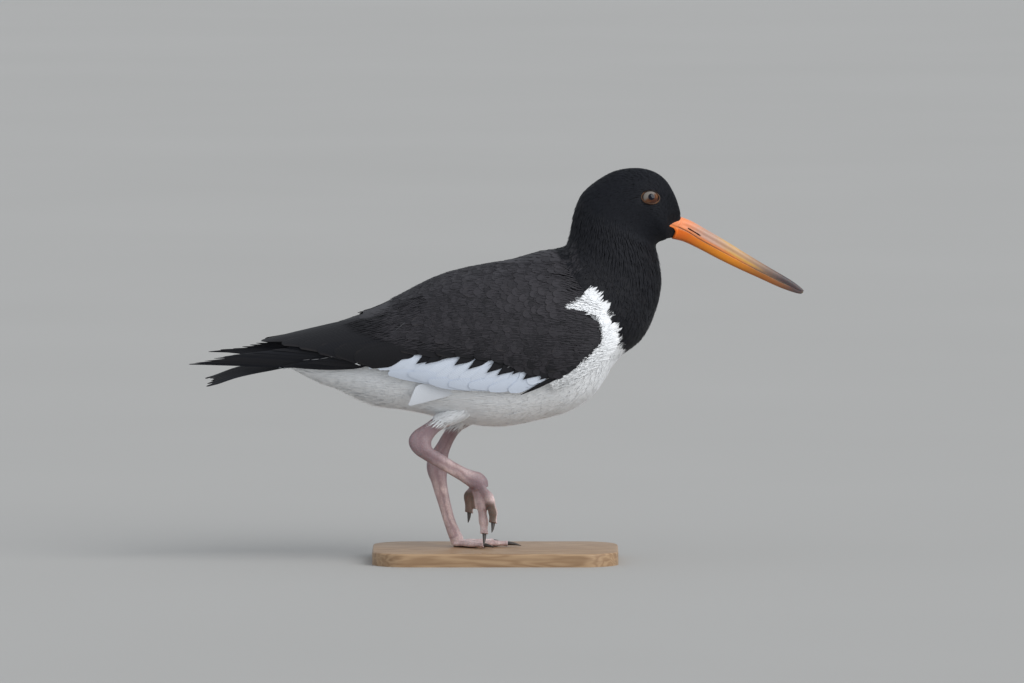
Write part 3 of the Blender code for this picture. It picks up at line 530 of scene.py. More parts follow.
def joined(name, points, corners, vane, marking, bake, rim):
    """One mesh of many small closed forms, with its attributes and its baking map. Its rims stay sharp."""
    mesh = bpy.data.meshes.new(name)
    mesh.vertices.add(len(points))
    mesh.vertices.foreach_set("co", in_scene(points).astype(np.float32).ravel())
    mesh.loops.add(corners.size)
    mesh.loops.foreach_set("vertex_index", corners.astype(np.int32).ravel())
    mesh.polygons.add(len(corners))
    mesh.polygons.foreach_set("loop_start", np.arange(0, corners.size, 3, dtype=np.int32))
    mesh.update(calc_edges=True)
    ends = np.zeros(len(mesh.edges) * 2, np.int32)
    mesh.edges.foreach_get("vertices", ends)
    sharp = mesh.attributes.new("sharp_edge", "BOOLEAN", "EDGE")
    sharp.data.foreach_set("value", rim[ends[::2]] & rim[ends[1::2]])
    note(mesh, "vane", vane)
    note(mesh, "marking", marking)
    layer = mesh.uv_layers.new(name="OFBake")
    layer.uv.foreach_set("vector", bake[corners.ravel()].astype(np.float32).ravel())
    return mesh


# %% [markdown]
# ## Two forms of feather
# A small body feather is a slim three-sided spindle with a point. A contour feather is a flat vane, closed
# like a lens: an upper and a lower face that share their rim. Both are made once, as a grid or a cone, and
# their points are read as shares: across the vane, along it, and above or below its middle.

# %% Feather forms
def spindle(cuts):
    """A cone of three sides, cut into rings. Returns its points as shares, and its triangles."""
    shape = bmesh.new()
    bmesh.ops.create_cone(shape, cap_ends=True, segments=3, radius1=1.0, radius2=0.0, depth=1.0)
    for cut in cuts:
        everything = shape.verts[:] + shape.edges[:] + shape.faces[:]
        bmesh.ops.bisect_plane(shape, geom=everything, plane_co=(0, 0, cut - 0.5), plane_no=(0, 0, 1))
    bmesh.ops.remove_doubles(shape, verts=shape.verts, dist=1e-5)
    bmesh.ops.triangulate(shape, faces=shape.faces)
    bmesh.ops.recalc_face_normals(shape, faces=shape.faces)
    shape.verts.index_update()
    shares = np.array([(v.co.x, v.co.y, v.co.z + 0.5) for v in shape.verts])
    corners = np.array([[v.index for v in face.verts] for face in shape.faces])
    shape.free()
    ring = np.maximum(1 - shares[:, 2], 1e-6)
    across, lift = shares[:, 0] / ring, shares[:, 1] / ring
    at_tip = shares[:, 2] > 0.999
    across[at_tip], lift[at_tip] = 0.0, 0.0
    return np.stack([across, shares[:, 2], lift], -1), corners


def lens(across, lengthways):
    """A grid and its mirror image that share a rim. Returns its points as shares, and its triangles."""
    shape = bmesh.new()
    bmesh.ops.create_grid(shape, x_segments=across, y_segments=lengthways, size=1.0)
    bmesh.ops.dissolve_verts(shape, verts=[v for v in shape.verts if len(v.link_edges) == 2])
    upper = shape.verts[:]
    rim = {v for v in upper if v.is_boundary}
    made = bmesh.ops.duplicate(shape, geom=shape.verts[:] + shape.edges[:] + shape.faces[:])
    lower_faces = [item for item in made["geom"] if isinstance(item, bmesh.types.BMFace)]
    bmesh.ops.reverse_faces(shape, faces=lower_faces)
    for v in upper:
        v.co.z = 0.0 if v in rim else 1.0
    for item in made["geom"]:
        if isinstance(item, bmesh.types.BMVert) and not item.is_boundary:
            item.co.z = -1.0
    bmesh.ops.remove_doubles(shape, verts=shape.verts, dist=1e-5)
    bmesh.ops.triangulate(shape, faces=shape.faces)
    shape.verts.index_update()
    shares = np.array([(v.co.x, v.co.y / 2 + 0.5, v.co.z) for v in shape.verts])
    corners = np.array([[v.index for v in face.verts] for face in shape.faces])
    shape.free()
    return shares, corners


SPINDLE, SMALL_VANE, FINE_VANE, LONG_VANE = spindle((0.3, 0.65)), lens(4, 3), lens(6, 3), lens(6, 14)
SQUARE_VANE = lens(12, 24)
print("triangles of each form:", [len(form[1]) for form in (SPINDLE, SMALL_VANE, FINE_VANE, LONG_VANE)])

# %% [markdown]
# ## Laying feathers
# A feather is bent onto its surface: every point of its form moves back from the root along the surface and
# a little way off it. The root starts below the surface and the tip ends just above the feathers behind, so
# rows overlap like tiles. A slight roll to one side does the same between neighbours of one row.

# %% Laying one tract of feathers
class Tract:
    """Feathers of one kind on one sheet, gathered as arrays."""

    def __init__(self, sheet, u, v, length, width, heading=0.0):
        self.sheet, self.u, self.v = sheet, np.asarray(u, float), np.asarray(v, float)
        count = len(self.u)
        self.length = np.broadcast_to(np.asarray(length, float), count)
        self.width = np.broadcast_to(np.asarray(width, float), count)
        self.heading = np.broadcast_to(np.asarray(heading, float), count)
        self.chance = draw.random(count)

    def __len__(self):
        return len(self.u)

    def spot(self, share, sideways=0.0):
        """The sheet's coordinates at a share of each feather's length, or for arrays of shares."""
        share = np.asarray(share, float)
        _, lengthways, crossways, _ = self.sheet.frame(self.u, self.v)
        for _ in range(2):
            per_u, per_v = np.linalg.norm(lengthways, axis=-1), np.linalg.norm(crossways, axis=-1)
            shape = (slice(None),) + (None,) * (share.ndim - 1 if share.ndim else 0)
            back = self.length[shape] * share
            cos, sin = np.cos(self.heading)[shape], np.sin(self.heading)[shape]
            u = self.u[shape] - (back * cos - sideways * sin) / per_u[shape]
            v = self.v[shape] + (back * sin + sideways * cos) / per_v[shape]
            half_u = self.u - self.length * np.cos(self.heading) / per_u / 2
            half_v = self.v + self.length * np.sin(self.heading) / per_v / 2
            _, lengthways, crossways, _ = self.sheet.frame(half_u, half_v)
        return u, v

    def tips(self, share=0.9):
        u, v = self.spot(share)
        return self.sheet.place(u, v)

    def keep(self, chosen):
        for name in ("u", "v", "length", "width", "heading", "chance"):
            setattr(self, name, getattr(self, name)[chosen])
        return self


def slim(s):
    """The width of a small pointed feather along its length."""
    return (0.5 + 0.5 * smooth(s / 0.35)) * (1 - s) ** 0.6


def oval(s):
    """The width of a rounded feather: its tip is rounded by its rows being bowed, not by narrowing."""
    return (0.45 + 0.55 * smooth(s / 0.45)) * (1 - 0.30 * smooth((s - 0.75) / 0.25))


def pointed(s):
    """The width of a flight feather, which narrows slowly to its tip."""
    return (0.5 + 0.5 * smooth(s / 0.3)) * (1 - 0.80 * np.clip((s - 0.5) / 0.5, 0, 1) ** 1.5)


def square(s):
    """The width of a feather with a broad blunt end."""
    return 0.5 + 0.5 * smooth(s / 0.5)


def grow(tract, form, profile, sink, rise, thickness, camber=0.06, roll=0.0, bow=0.5, fray=0.0, curl=0.0, skew=0.0):
    """The points, triangles and attributes of a tract of feathers."""
    shares, corners = form
    a, s, side = shares.T
    count = len(tract)
    chance = tract.chance[:, None]
    nick = np.sin(a * 37.0 + chance * 91.0 + s * 3.0) * fray * (s > 0.93)
    end = (bow * (1 - np.sqrt(1 - 0.96 * np.clip(a * a, 0, 1))) + skew * a) * s**3
    bowed = s[None, :] - end[None, :] * (tract.width / tract.length)[:, None] - np.abs(nick)
    half = tract.width[:, None] / 2 * profile(s)[None, :]
    u, v = tract.spot(bowed, half * a[None, :])
    points, _, _, normal = tract.sheet.frame(u, v)
    sink, rise = (np.broadcast_to(np.asarray(value, float), count)[:, None] for value in (sink, rise))
    height = -sink + (sink + rise) * s[None, :] ** 0.8 + curl * s[None, :] ** 3 * chance
    height = height - camber * tract.width[:, None] * 0.5 * a[None, :] ** 2 + roll * a[None, :] * smooth(s * 2)[None, :]
    thin = thickness * (1 - 0.6 * s)
    ridge = 1 + 0.8 * (1 - np.abs(a)) ** 3
    height = height + side[None, :] * (thin * ridge)[None, :] / 2
    points = points + normal * height[..., None]
    vane = np.stack(np.broadcast_arrays(a[None, :], s[None, :], chance), -1)
    numbers = corners[None] + (np.arange(count) * len(shares))[:, None, None]
    if tract.sheet.turn < 0:
        numbers = numbers[..., ::-1]
    edge = (side == 0) & ((np.abs(a) > 0.99) | (s < 0.01) | (s > 0.99))
    rim = np.tile(edge | (np.abs(side + 0.5) < 0.1), count)
    return points, numbers.reshape(-1, 3), vane, rim


BAKE_PATCH = 0.003


def coat(name, groups, replaced=()):
    """A coat piece from several tracts: each group is grown feathers, their roots on the unwrap, and markings."""
    points, corners, vanes, rims, markings, bakes, total = [], [], [], [], [], [], 0
    for (grown, faces, vane, rim), roots, marking in groups:
        rims.append(rim)
        count, many = grown.shape[:2]
        corners.append(faces + total)
        points.append(grown.reshape(-1, 3))
        vanes.append(vane.reshape(-1, 3))
        markings.append(np.repeat(marking, many, 0))
        spots = 0.005 + 0.985 * np.clip(roots, 0, 1)[:, None, :]
        bakes.append((spots + vane[..., :2] * (BAKE_PATCH / 2, BAKE_PATCH)).reshape(-1, 2))
        total += count * many
    corners = np.concatenate(corners)
    stacks = (np.concatenate(stack) for stack in (vanes, markings, bakes, rims))
    mesh = joined(name, np.concatenate(points), corners, *stacks)
    obj = show(name, mesh, PLUMAGE, smoothed=False)
    if replaced:
        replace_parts(obj, *replaced)
    print(f"{name}: {len(corners)} triangles")
    return obj


# %% [markdown]
# ## Scattering roots
# Small feathers grow close and evenly, but not in visible lines. Candidate places are drawn at random over
# the surface, and each is kept only if no kept one is nearer than its spacing. A grid of cells makes the
# search quick, and a fixed seed gives the same bird every time.

# %% Evenly spread roots
def scattered(sheet, u_range, v_range, spacing, tries=7.0, keep=None):
    """Roots on a sheet. spacing takes points and gives the distance to keep there, in millimetres."""
    grid_u, grid_v = np.meshgrid(np.linspace(*u_range, 60), np.linspace(*v_range, 60))
    points, lengthways, crossways, _ = sheet.frame(grid_u.ravel(), grid_v.ravel())
    area = np.linalg.norm(np.cross(lengthways, crossways), axis=-1)
    dense = area / spacing(points) ** 2
    wanted = dense.mean() * abs((u_range[1] - u_range[0]) * (v_range[1] - v_range[0])) * 0.7
    count = int(wanted * tries * dense.max() / dense.mean())
    u, v = draw.uniform(*u_range, count), draw.uniform(*v_range, count)
    points, lengthways, crossways, _ = sheet.frame(u, v)
    apart = spacing(points)
    dense_here = np.linalg.norm(np.cross(lengthways, crossways), axis=-1) / apart**2
    chosen = draw.random(count) < dense_here / dense.max()
    if keep is not None:
        chosen &= keep(u, v, points)
    u, v, points, apart = u[chosen], v[chosen], points[chosen], apart[chosen]
    if not len(u):
        return u, v
    cell = apart.max()
    cells, kept = {}, []
    keys = np.floor(points / cell).astype(int)
    for i, ((x, y, z), (kx, ky, kz), gap) in enumerate(zip(points.tolist(), keys.tolist(), apart.tolist())):
        near = False
        for ix in (kx - 1, kx, kx + 1):
            for iy in (ky - 1, ky, ky + 1):
                for iz in (kz - 1, kz, kz + 1):
                    for ox, oy, oz in cells.get((ix, iy, iz), ()):
                        if (ox - x) ** 2 + (oy - y) ** 2 + (oz - z) ** 2 < gap * gap:
                            near = True
                            break
                    if near:
                        break
                if near:
                    break
            if near:
                break
        if not near:
            cells.setdefault((kx, ky, kz), []).append((x, y, z))
            kept.append(i)
    return u[kept], v[kept]


def constant(value):
    return lambda points: np.full(len(points), float(value))


# %% [markdown]
# ## Eyes
# The eye is a glassy ball sunk in the head, with an orange-brown iris, a dark pupil and a narrow ring of
# bare orange skin round it. The ball's place is read from the solid, so that it fits the socket. The ring is
# a small wrapped grid that climbs from the ball, over the lid, and down into the feathers.

# %% Where the eyes are
EYE_X, EYE_Z, EYE_RADIUS, EYE_PROUD = 94.7, 215.2, 5.6, 1.5
PUPIL, IRIS, LOOK_AHEAD = 2.0, 4.6, 0.1
LID_BARE = (6.05, 4.75)  # no feather grows nearer to the eye's middle than this ellipse


def eye_frame(side, node):
    """The centre of the ball, and three directions: forwards, upwards and out of the head."""
    low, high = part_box(node)
    centre = np.array((low + high) / 2) / MM - (0, 0, SOLE_HEIGHT)
    flat = np.array([EYE_X, 0, EYE_Z]) - centre * (1, 0, 1)
    depth = EYE_RADIUS - EYE_PROUD
    out = unit(np.array([flat[0], side * math.sqrt(depth**2 - flat @ flat), flat[2]]))
    forward = unit(np.array([1.0, 0, -0.05]) - out * (np.array([1.0, 0, -0.05]) @ out))
    return centre, forward, np.cross(forward, out) * side, out


EYES = {side: eye_frame(side, node) for side, node in ((RIGHT, "eye_right"), (LEFT, "eye_left"))}


def near_eye(points, grow_by=0.0):
    """True where points lie over an eye's bare ring."""
    found = np.zeros(points.shape[:-1], bool)
    for centre, forward, up, out in EYES.values():
        away = points - centre
        wide, tall = LID_BARE[0] + grow_by, LID_BARE[1] + grow_by
        ellipse = (away @ forward / wide) ** 2 + (away @ up / tall) ** 2
        found |= (ellipse < 1) & (away @ out > 0)
    return found


print("eye centres:", [np.round(eye[0], 1).tolist() for eye in EYES.values()])

# %% Finishes of the eye
def eye_finish():
    finish = Finish("glass_eye", roughness=0.06, Specular_IOR_Level=0.24)
    away, turn, height = finish.attribute("gaze")
    streaks = finish.noise(finish.node("ShaderNodeCombineXYZ", {}, {0: turn * 9.0, 1: away * 0.12, 2: 0.0}), 3.0, 2.0)
    iris = finish.mix(away.ramp(PUPIL, IRIS - 0.6), (0.070, 0.020, 0.008), (0.150, 0.062, 0.026))
    iris = finish.mix(streaks.ramp(0.40, 0.72) * 0.4, iris, (0.21, 0.105, 0.05))
    # Painted reflection: the upper rear of the iris is made pale grey, as the sky shows on the eye.
    iris = finish.mix(height.ramp(-0.6, 1.9) * 0.92, iris, (0.205, 0.185, 0.165))
    iris = finish.mix((0 - height).ramp(2.0, 3.6) * 0.85, iris, (0.050, 0.016, 0.010))
    colour = finish.mix(away.ramp(PUPIL - 0.3, PUPIL + 0.3), (0.003, 0.003, 0.008), iris)
    colour = finish.mix(away.ramp(IRIS - 0.3, IRIS + 0.3), colour, (0.020, 0.011, 0.007))
    return finish.set(Base_Color=colour, Roughness=0.05 + streaks * 0.03)


def lid_finish():
    finish = Finish("orbital_ring", roughness=0.5, Specular_IOR_Level=0.3)
    bare, corner, low = finish.attribute("gaze")
    spots = finish.noise(finish.place(1, 1, 1), 700.0, 2.0)
    orange = finish.mix(spots.ramp(0.35, 0.7), (0.165, 0.072, 0.028), (0.10, 0.043, 0.018))
    strength = (corner * 0.85 + low * 0.45 + spots * 0.25 - 0.10).ramp(0.0, 0.9)
    return finish.set(Base_Color=finish.mix(bare * (strength * 0.9 + 0.1), (0.009, 0.008, 0.010), orange))


# %% Eyeballs and lids
# Rows of the lid from the ball outwards: half width, half height, height over the ball, height against the
# head (a low number leaves that one out), and how bare and orange it is.
LID_ROWS = (
    (4.60, 3.42, -0.35, -9.0, 0.0),
    (4.84, 3.64, 0.12, -9.0, 0.0),
    (5.08, 3.86, 0.42, -0.60, 1.0),
    (5.42, 4.12, 0.50, -0.25, 1.0),
    (5.78, 4.42, 0.30, -0.20, 0.9),
    (6.25, 4.95, -9.0, -0.55, 0.0),
    (7.20, 6.20, -9.0, -1.70, 0.0),
)
HEAD_CURVE = 40.0


def lid_place(side):
    centre, forward, up, out = EYES[side]

    def place(share, around):
        half_w, half_h, over_ball, over_head, _ = parts_of(along(LID_ROWS, share * (len(LID_ROWS) - 1)))
        angle = around * 2 * math.pi
        corner = 1 + 0.07 * np.abs(np.cos(angle)) ** 6
        w, h = half_w * corner * np.cos(angle), half_h * np.sin(angle)
        reach = np.hypot(w, h)
        ball = np.sqrt(np.maximum(EYE_RADIUS**2 - reach**2, 0.0))
        head = EYE_RADIUS - EYE_PROUD - reach**2 / HEAD_CURVE
        height = np.maximum(ball + over_ball, head + over_head)
        return centre + forward * w[:, None] + up * h[:, None] + out * height[:, None]

    return place


def make_eyes():
    glass, ring = eye_finish(), lid_finish()
    for side, word in ((RIGHT, "right"), (LEFT, "left")):
        centre, forward, up, out = EYES[side]
        ball = bmesh.new()
        bmesh.ops.create_uvsphere(ball, u_segments=96, v_segments=64, radius=EYE_RADIUS * MM)
        turn = Vector(out).to_track_quat("Z", "Y")
        bmesh.ops.rotate(ball, verts=ball.verts, matrix=turn.to_matrix())
        bmesh.ops.translate(ball, verts=ball.verts, vec=Vector(in_scene(centre)))
        mesh = to_mesh("eyeball_" + word, ball)
        away = points_of(mesh) - centre
        w, h, depth = away @ forward - LOOK_AHEAD, away @ up, away @ out
        distance = np.where(depth > 0, np.hypot(w, h), EYE_RADIUS)
        # The third number grows up and towards the back of the eye; the iris's painted reflection follows it.
        note(mesh, "gaze", np.stack([distance, np.arctan2(h, w), h - w * 0.75], -1))
        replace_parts(show("eyeball_" + word, mesh, glass), "eye_" + word)
        lids = to_mesh("lids_" + word, wrapped(30, 96, lid_place(side), closed=False))
        away = points_of(lids) - centre
        w, h = away @ forward / LID_ROWS[3][0], away @ up / LID_ROWS[3][1]
        reach = np.hypot(w, h)
        bare = smooth((reach - 0.90) / 0.03) * (1 - smooth((reach - 1.03) / 0.06))
        corner, low = smooth((np.abs(w) / reach - 0.45) / 0.5), smooth(0.5 - h / reach)
        note(lids, "gaze", np.stack([bare, corner, low], -1))
        obj = show("lids_" + word, lids, ring)
        wall = obj.modifiers.new("wall", "SOLIDIFY")
        wall.thickness, wall.offset = 0.3 * MM, -1.0
        print("eye", word, len(mesh.polygons), "faces")


make_eyes()

# %% [markdown]
# ## The skin
# Under the feathers is one closed skin. It takes the body from the tail to the bill, with both thighs fused
# into it by a voxel remesh, and it lies inside the solid by the depth of the coat: thin on the face, thicker
# on the breast and belly. It carries the same markings, so that nothing shines through between feathers.

# %% Leg stations
RIGHT_LEG = (
    (-24.6, 77.2, -37.4, 80.9, 20.0, 4.4),
    (-31.9, 74.1, -42.9, 77.1, 21.0, 3.6),
    (-36.1, 70.8, -49.6, 72.7, 22.0, 3.5),
    (-38.6, 67.1, -52.6, 68.0, 22.6, 3.9),
    (-38.9, 64.5, -52.0, 63.3, 22.8, 4.3),
    (-38.2, 62.5, -49.0, 59.2, 22.6, 4.3),
    (-36.1, 60.9, -44.1, 55.7, 21.8, 3.7),
    (-31.3, 58.0, -36.8, 51.3, 20.3, 3.1),
    (-24.6, 53.6, -29.4, 46.9, 18.0, 2.9),
    (-17.8, 49.8, -22.7, 42.8, 15.6, 2.9),
    (-13.0, 47.9, -17.8, 39.3, 13.6, 3.3),
    (-8.7, 46.5, -15.4, 37.3, 12.2, 3.8),
    (-5.0, 42.7, -14.4, 36.6, 11.4, 4.2),
    (-4.2, 38.2, -13.4, 35.6, 11.0, 3.9),
)
LEFT_LEG = (
    (-15.4, 73.2, -27.6, 75.6, 19.0, 4.6),
    (-20.9, 70.1, -30.0, 71.4, 17.8, 3.6),
    (-24.6, 65.3, -32.8, 67.1, 16.6, 3.4),
    (-27.3, 59.8, -36.1, 61.6, 15.4, 3.5),
    (-28.8, 54.9, -40.4, 55.5, 14.4, 4.2),
    (-29.1, 50.0, -42.0, 50.0, 13.6, 4.8),
    (-29.4, 45.1, -41.4, 44.5, 12.8, 4.5),
    (-29.7, 40.3, -39.2, 39.0, 12.0, 3.6),
    (-28.8, 33.5, -37.1, 32.3, 11.0, 3.0),
    (-27.0, 25.0, -34.3, 23.8, 9.6, 2.9),
    (-24.9, 17.1, -31.9, 15.9, 8.4, 3.0),
    (-21.5, 9.2, -29.4, 8.4, 7.2, 3.6),
    (-19.6, 5.2, -28.0, 4.6, 6.6, 4.1),
    (-20.6, 0.9, -26.6, 0.9, 6.4, 3.6),
)
LEGS = {RIGHT: RIGHT_LEG, LEFT: LEFT_LEG}
SHANK_START = 0.45
THIGH_GIRTH, THIGH_TOP_GIRTH, THIGH_BREADTH = 1.12, 1.75, 1.5
THIGH_HEIGHT, THIGH_LEAN = 24.0, (4.0, 0.0, 4.0)


def leg_place(side, t, angle, girth=1.0):
    front_x, front_z, back_x, back_z, off, half = parts_of(along(LEGS[side], t))
    cos, sin = np.cos(angle) * girth, np.sin(angle) * girth
    x = (front_x + back_x) / 2 + (front_x - back_x) / 2 * cos
    z = (front_z + back_z) / 2 + (front_z - back_z) / 2 * cos
    return np.stack([x, side * off + half * sin, z], -1)


def thigh_surface(side, out=0.0):
    """The feathered thigh: its first coordinate runs from the cuff, 0, up into the belly, 1."""
    middle = leg_place(side, np.array(SHANK_START), np.array([0.0, math.pi])).mean(0)
    above = leg_place(side, np.array(0.2), np.array([0.0, math.pi])).mean(0)
    up = unit(above - middle)

    def place(share, angle):
        spoke = leg_place(side, np.full(np.shape(angle), SHANK_START), angle) - middle
        girth = blend(THIGH_GIRTH, THIGH_TOP_GIRTH, share) * (0.82 + 0.18 * smooth(share / 0.12))
        spoke = spoke * (1, THIGH_BREADTH, 1)
        size = np.linalg.norm(spoke, axis=-1, keepdims=True)
        rise = share[..., None] * (up * THIGH_HEIGHT + np.array(THIGH_LEAN))
        return middle + spoke * (girth[..., None] + out / size) + rise

    return place


# %% One skin for torso, neck, head and thighs
SKIN_DEPTH = ((0, 1.5), (3, 1.7), (9, 1.7), (13, 1.3), (16, 0.9), (20, 0.7), (22.5, 0.5), (24, 0.4))


def skin_depth(t):
    stations, depths = zip(*SKIN_DEPTH)
    return np.interp(t, stations, depths)


def skin_place(share, around):
    t = share * BODY_END
    return body_place(t, around * 2 * math.pi, -skin_depth(t))


def make_skin():
    shapes = [wrapped(150, 96, skin_place)]
    for side in (RIGHT, LEFT):
        thigh = thigh_surface(side, out=-1.6)
        shapes.append(wrapped(16, 32, lambda share, around: thigh(share * 0.9 + 0.04, around * 2 * math.pi)))
    mesh = remesh(to_mesh("skin", *shapes), 1.0, 3)
    points = points_of(mesh)
    white = whiteness(points)
    brown = np.where(points[:, 0] < 46, 0.9, 0.35)
    note(mesh, "vane", np.tile((0.0, 0.5, 0.4), (len(points), 1)))
    note(mesh, "marking", np.stack([white, brown * (1 - white), np.zeros(len(points))], -1))
    obj = show("skin_body", mesh, PLUMAGE)
    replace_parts(obj, "torso", "neck", "head", "thigh_right", "thigh_left")
    print("skin:", len(mesh.polygons), "faces")


make_skin()

# %% [markdown]
# ## The coat of the head and neck
# The hood is close and velvety: feathers of two millimetres at the bill, three or four on the crown, six on
# the neck. They are slim spindles, set thickly, and they part round the bare ring of the eye.

# %% What the folded wings cover
WING_CORE = (
    (65.2, 82.0, 130.5), (62.0, 73.0, 124.5), (57.0, 67.0, 120.5), (50.0, 62.0, 115.0),
    (42.0, 57.0, 109.0), (30.0, 47.0, 103.5), (15.0, 37.0, 99.0), (0.0, 27.0, 98.5),
    (-15.0, 15.0, 99.0), (-30.0, 6.0, 101.0), (-50.0, 1.2, 106.0), (-75.0, 1.4, 109.5),
    (-100.0, 1.8, 112.0), (-126.0, 3.0, 114.0),
)
TUCK = 9.0  # how far body feathers run in under the wing's edges


def under_wing(points):
    """True where the folded wing hides the body."""
    x, z = points[:, 0], points[:, 2]
    upper, low_z = parts_of(at_x(WING_CORE, x))
    angle = np.arctan2(np.abs(points[:, 1]) / 45.0, (z - 128.0) / 50.0)
    below_top = angle > np.radians(upper) + TUCK / 50.0
    return (x < 60.0 - TUCK * 0.6) & (x > -128) & (z > low_z + TUCK) & below_top


# %% Hood feathers
BILL_EDGE_T = 23.75  # no feather roots grow further forward than this station
# The bare orange corner of the mouth reaches back into the face: its rear edge from the ridge down to the chin,
# and the outline that it makes with the root of the bill.
GAPE_REAR = (
    (113.0, 201.6), (112.2, 200.2), (109.8, 199.5), (106.1, 197.5),
    (108.6, 195.8), (109.8, 193.4), (109.2, 191.4), (107.6, 189.2),
)
GAPE = GAPE_REAR + ((109.5, 188.5), (115.0, 202.0))


def body_roots(u, v):
    """The place of roots on the body's unwrap."""
    return np.stack([np.mod(v / (2 * math.pi), 1.0), u / BODY_END], -1)


def head_size(t):
    """How long head feathers are: short at the bill, longer down the neck."""
    return np.interp(t, (12.0, 15.0, 17.5, 20.5, 22.5, 24.0), (7.5, 6.2, 4.2, 3.2, 2.2, 1.5))


def hood_marking(tract, brown=0.0):
    return np.tile((0.0, float(brown), 0.0), (len(tract), 1))


def make_head_coat():
    def spacing(points):
        return np.interp(points[:, 0], (60, 85, 100, 108), (0.86, 0.74, 0.60, 0.5))

    u, v = scattered(body, (15.3, BILL_EDGE_T), (0, 2 * math.pi), spacing)
    length = head_size(u) * draw.uniform(0.8, 1.2, len(u))
    tract = Tract(body, u, v, length, length * 0.32 + 0.12, draw.normal(0, 0.08, len(u)))
    bare = near_eye(tract.tips(0.0)) | near_eye(tract.tips(0.5)) | near_eye(tract.tips(1.0))
    roots, middles = tract.tips(0.0), tract.tips(0.4)
    bare |= inside(GAPE, roots[:, 0], roots[:, 2]) | inside(GAPE, middles[:, 0], middles[:, 2])
    bare |= (roots[:, 0] > 104.5) & (roots[:, 2] < 189.6)
    tract.keep(~bare)
    depth = skin_depth(tract.u)
    grown = grow(tract, SPINDLE, slim, depth * 0.7, 0.06, 0.10, curl=0.04)
    coat("coat_head", [(grown, body_roots(tract.u, tract.v), hood_marking(tract))])


def make_neck_coat():
    def on_neck(u, v, points):
        return (u > 10.6) | ((points[:, 0] > 34) & ~under_wing(points))

    u, v = scattered(body, (7.5, 15.8), (0, 2 * math.pi), constant(0.98), keep=on_neck)
    length = head_size(u) * draw.uniform(0.85, 1.25, len(u))
    tract = Tract(body, u, v, length, length * 0.25, draw.normal(0, 0.07, len(u)))
    tips, middles = tract.tips(), tract.tips(0.6)
    over_edge = (whiteness(middles) < 0.5) & (tract.chance > 0.45)
    tract.keep((whiteness(tips) < 0.5) | over_edge)
    depth = skin_depth(tract.u)
    grown = grow(tract, SPINDLE, slim, depth * 0.7, 0.10 + 0.4 * over_edge[(whiteness(tips) < 0.5) | over_edge], 0.12, curl=0.08)
    coat("coat_neck", [(grown, body_roots(tract.u, tract.v), hood_marking(tract, 0.2))])


make_head_coat()
make_neck_coat()

# %% [markdown]
# ## The coat of the body
# Breast, flanks and belly have soft rounded feathers with loose edges. Each is a small closed vane, and
# between them grow single fine tufts that stand out a little, so that the outline is soft and not cut. What
# the folded wings cover is left bare, because nobody can see it.

# %% Body feathers
def body_marking(tract):
    tips = tract.tips()
    white = whiteness(tips)
    brown = np.where(tips[:, 0] < 50, 0.75, 0.3) + draw.normal(0, 0.05, len(tract))
    return np.stack([white, np.clip(brown, 0, 1) * (1 - white), np.full(len(tract), 0.1)], -1)


def fullness(tract):
    """Where the down hangs fuller, under the belly in front of the tail."""
    x = body.place(tract.u, tract.v)[:, 0]
    return smooth((x + 88) / 10) * smooth((-58 - x) / 10) * smooth((-np.cos(tract.v) - 0.72) / 0.2)


def make_body_coat():
    def open_to_view(u, v, points):
        return ~under_wing(points)

    def spacing(points):
        return np.interp(points[:, 0], (-110, -60, 60, 90), (2.1, 2.4, 2.3, 1.8))

    u, v = scattered(body, (0.15, 12.6), (0, 2 * math.pi), spacing, keep=open_to_view)
    size = np.interp(u, (0, 3, 9, 12.6), (11.0, 12.5, 11.0, 8.0)) * draw.uniform(0.85, 1.2, len(u))
    tract = Tract(body, u, v, size, size * 0.46, draw.normal(0, 0.10, len(u)))
    lower = np.cos(tract.v) < 0.2
    front = tract.u > 9.0
    upper = ~lower & (body_place(tract.u, tract.v)[:, 0] < 46)
    for name, chosen in (
        ("coat_back", upper), ("coat_breast", (lower & front) | (~lower & ~upper)), ("coat_belly", lower & ~front)
    ):
        part = Tract(body, tract.u, tract.v, tract.length, tract.width, tract.heading).keep(chosen)
        depth, rise = skin_depth(part.u), 0.05 + 1.2 * fullness(part)
        grown = grow(part, SMALL_VANE, oval, depth * 0.6, rise, 0.12, fray=0.03, curl=0.06, bow=0.4, camber=0.01)
        coat(name, [(grown, body_roots(part.u, part.v), body_marking(part))])


def make_loose_tufts():
    def open_to_view(u, v, points):
        return ~under_wing(points) & (whiteness(points) > 0.5)

    u, v = scattered(body, (0.1, 12.9), (0, 2 * math.pi), constant(1.2), keep=open_to_view)
    place_x = body.place(u, v)[:, 0]
    by_thigh = smooth((place_x + 22) / 6) * smooth((8 - place_x) / 6) * smooth((np.cos(v) + 0.35) / -0.2)
    length = draw.uniform(6.5, 10.5, len(u)) + 5.0 * by_thigh
    tract = Tract(body, u, v, length, 0.75 + 0.05 * length, draw.normal(0, 0.12, len(u)))
    tract.keep((whiteness(tract.tips()) > 0.5) & (whiteness(tract.tips(0.25)) > 0.5))
    lift = np.where(tract.chance > 0.85, 0.8, 0.22) * draw.uniform(0.5, 1.2, len(tract))
    lift = lift + 2.2 * fullness(tract) * draw.uniform(0.4, 1.2, len(tract))
    grown = grow(tract, SPINDLE, slim, 0.4, lift, 0.12, curl=0.1)
    coat("coat_tufts", [(grown, body_roots(tract.u, tract.v), body_marking(tract))])


make_body_coat()
make_loose_tufts()

# %% [markdown]
# ## The feathered thighs
# Each thigh ends in a loose white cuff that hides where the bare leg begins. Long fine tufts run down it.

